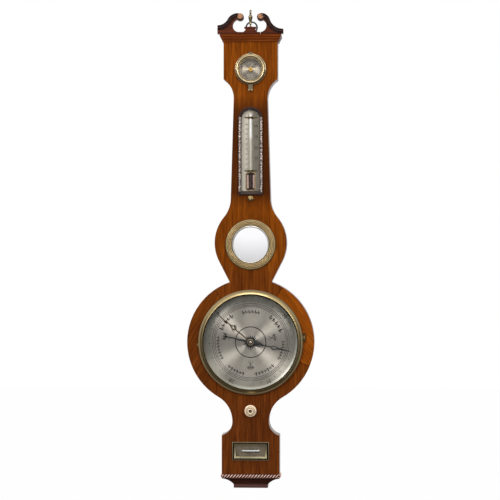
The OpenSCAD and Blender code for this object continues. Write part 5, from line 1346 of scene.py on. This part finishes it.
def hygrometer_hand():
    """Pale double-ended hand on a brass boss with a dark pin."""
    low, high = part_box("hygro_hand")
    far = front("hygro_dial") - 1.2 * MM
    near = far - 0.8 * MM
    arbor = [(0.2 * MM, high.y), (1.4 * MM, high.y), (1.4 * MM, far), (3.6 * MM, far), (3.6 * MM, near),
             (0.2 * MM, near)]
    bars = Shape()
    for side in (-1, 1):
        points = mm([(side * x, h) for x, h in HYGRO_BAR], HYGRO.x, HYGRO.z)
        bars.add(ribbon(points, [width * MM for width in HYGRO_BAR_WIDTHS], near, far))
    bars.add(turned(arbor, HYGRO, 32))
    bars.piece("hygrometer_hand_bars", "hygro_hand", "brass", "pale_hand", "hygro_hand")
    dome = mm([(4.4, 0.0), (4.4, -0.5)], along=near) + mm([(3.2, 0.15), (1.5, 0.0), (0.2, 0.0)], along=low.y)
    boss = Shape(turned(dome, HYGRO, 40))
    boss.piece("hygrometer_boss", "hygro_hand", "brass", "golden_boss", "hygro_hand")
    pin = mm([(1.3, 0.3), (1.3, -0.25), (0.2, -0.35)], along=low.y)
    Shape(turned(pin, HYGRO, 24)).piece("hygrometer_pin", "hygro_hand", "brass", "dark_brass")


def hygrometer_rim():
    """Bright sloping rim round the dial, inside the case."""
    seat = front("hygro_dial")
    crest = seat - (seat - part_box("hygro_glass")[1].y) * 0.6
    seat -= 0.02 * MM
    section = [(24.2 * MM, seat), (24.2 * MM, crest), (23.2 * MM, crest), (21.4 * MM, seat)]
    Shape(ring_form(section, HYGRO, 96)).piece("hygrometer_rim", "case", "silvered", "rim_silver")


hygrometer_marks()
hygrometer_hand()
hygrometer_rim()


# Hanging ring

def hanging_ring_piece():
    """Ring of thick iron wire on a shank, with the knuckle that turns on the plate's pin."""
    low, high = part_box("hanging_ring")
    centre = middle("hanging_ring")
    reach = half_size("hanging_ring")
    knuckle = half_size("hanging_ring", 1)
    ring_z = high.z - reach
    pivot = (centre.x, centre.y, low.z + knuckle)
    wire = 1.7 * MM
    bore = 0.98 * MM
    half = 3.0 * MM
    section = []
    for i in range(20):
        angle = TURN * i / 20
        section.append((reach - wire + wire * math.cos(angle), centre.y + wire * math.sin(angle)))
    ring = Shape(ring_form(section, (centre.x, centre.y, ring_z), 96),
                 box_form((-1.6 * MM, centre.y - 1.0 * MM, pivot[2] + bore + 0.3 * MM),
                          (1.6 * MM, centre.y + 1.0 * MM, ring_z - reach + wire)),
                 ring_form(rectangle(bore, knuckle, -half, half), pivot, 40, axis="x"))
    ring.piece("hanging_ring_wire", "ring", "blued_steel", "dark_iron", "hanging_ring")


hanging_ring_piece()


# Silk thread of the float
THREAD_SIDES = 12
RUN_ROWS = 24
TURN_ROWS = 36


def thread_run(name, x, low, high, radius):
    """Straight run of thread down to the weight below it."""
    place = (x, middle("float_thread").y, 0.0)
    profile = [(radius, low + (high - low) * i / RUN_ROWS) for i in range(RUN_ROWS + 1)]
    run = Shape(turned(profile, place, THREAD_SIDES, axis="z"))
    piece = run.piece(name, None, "thread", "silk", "float_thread")
    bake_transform(piece)


def thread_pieces():
    """Runs down to the float and the counterweight, and the turn over the pulley."""
    low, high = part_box("float_thread")
    radius = (high.y - low.y) / 2
    reach = (high.x - low.x) / 2 - radius
    level = high.z - radius - reach
    thread_run("float_thread_run", reach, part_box("float")[1].z, level, radius)
    thread_run("weight_thread_run", -reach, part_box("counterweight")[1].z, level, radius)
    verts = []
    for i in range(TURN_ROWS + 1):
        sweep = math.pi * i / TURN_ROWS
        for j in range(THREAD_SIDES):
            angle = TURN * j / THREAD_SIDES
            out = reach + radius * math.cos(angle)
            y = middle("float_thread").y + radius * math.sin(angle)
            verts.append((out * math.cos(sweep), y, level + out * math.sin(sweep)))
    turn = Shape((verts, tube_faces(TURN_ROWS + 1, THREAD_SIDES)))
    turn.piece("pulley_thread_turn", "case", "thread", "silk", "float_thread")


thread_pieces()


# Camera, light and stage
CAMERA_RIGHT = 0.2
VIEW_DISTANCE = 3.7
LENS = 125.0
SENSOR = 36.0
PHOTO_MIDDLE = Vector((-0.0012, FRONT_Y, -0.4803))
CENTRE = Vector((0.0, FRONT_Y, -0.5))
# Direction that the room's light comes from
ROOM_LIGHT = (0.0, -0.447, 0.81)
# Share of a white glow in what the camera and mirrors see of the stage
STAGE_GLOW = 0.97
STAGE_TONE = (0.86, 0.86, 0.86, 1.0)


def aimed(name, data, place, target):
    """Adds a camera or lamp that looks from a place to a target."""
    made = bpy.data.objects.new(name, data)
    scene.collection.objects.link(made)
    made.location = place
    made.rotation_euler = (target - Vector(place)).to_track_quat("-Z", "Y").to_euler()
    return made


def area_light(name, place, size, power):
    data = bpy.data.lights.new(name, "AREA")
    data.shape = "RECTANGLE"
    data.size, data.size_y = size
    data.energy = power
    aimed(name, data, place, CENTRE)


camera_data = bpy.data.cameras.new("camera")
camera_data.lens = LENS
camera_data.sensor_width = SENSOR
camera_place = PHOTO_MIDDLE + Vector((CAMERA_RIGHT, -VIEW_DISTANCE, 0.0))
scene.camera = aimed("camera", camera_data, camera_place, PHOTO_MIDDLE)
area_light("left_softbox", (-1.9, -2.6, 0.65), (1.0, 1.0), 46.0)
area_light("right_softbox", (1.9, -2.6, 0.65), (1.0, 1.0), 34.0)
area_light("top_softbox", (0.0, -1.2, 1.5), (1.6, 0.8), 14.0)


def studio_world():
    """Room lit from the top and the front and darker below and behind, white to the camera itself."""
    scene.world = bpy.data.worlds.new("studio")
    look = Nodes(scene.world, "Background", "Generated")
    level = look.map_range(look.vector_math("DOT_PRODUCT", look.vector, ROOM_LIGHT), -0.43, 0.55, 0.04, 1.02)
    darker = look.times(look.math("POWER", look.math("ABSOLUTE", look.along(0)), 3.0), 0.75)
    room = look.most(look.minus(level, darker), 0.06)
    camera_ray, through = look.seen_rays()
    wall = look.times(look.map_range(look.along(1), 0.75, 0.92), through)
    strength = look.most(room, look.most(camera_ray, wall))
    look.dress({"Color": (*WHITE, 1.0), "Strength": strength})


def stage_floor():
    """Floor behind the part: near white to the camera and to mirrors, plain and pale to the light."""
    look = new_look("pale_floor")
    look.dress({"Base Color": STAGE_TONE, "Roughness": 0.9})
    glow = look.add("ShaderNodeEmission", {"Color": (*WHITE, 1.0), "Strength": 1.0}).outputs[0]
    share = look.times(look.most(*look.seen_rays()), STAGE_GLOW)
    mixed = look.add("ShaderNodeMixShader", {0: share, 1: look.shader.outputs[0], 2: glow}).outputs[0]
    look.fill(look.tree.nodes["Material Output"], {"Surface": mixed})
    z = cad_box[0].z - 0.35
    mesh = bpy.data.meshes.new("floor")
    mesh.from_pydata([(x, y, z) for x, y in rectangle(-5, 5, 0.6, 7)], [], [(0, 1, 2, 3)])
    mesh.materials.append(LOOKS["pale_floor"])
    plane = bpy.data.objects.new("floor", mesh)
    scene.collection.objects.link(plane)


studio_world()
stage_floor()
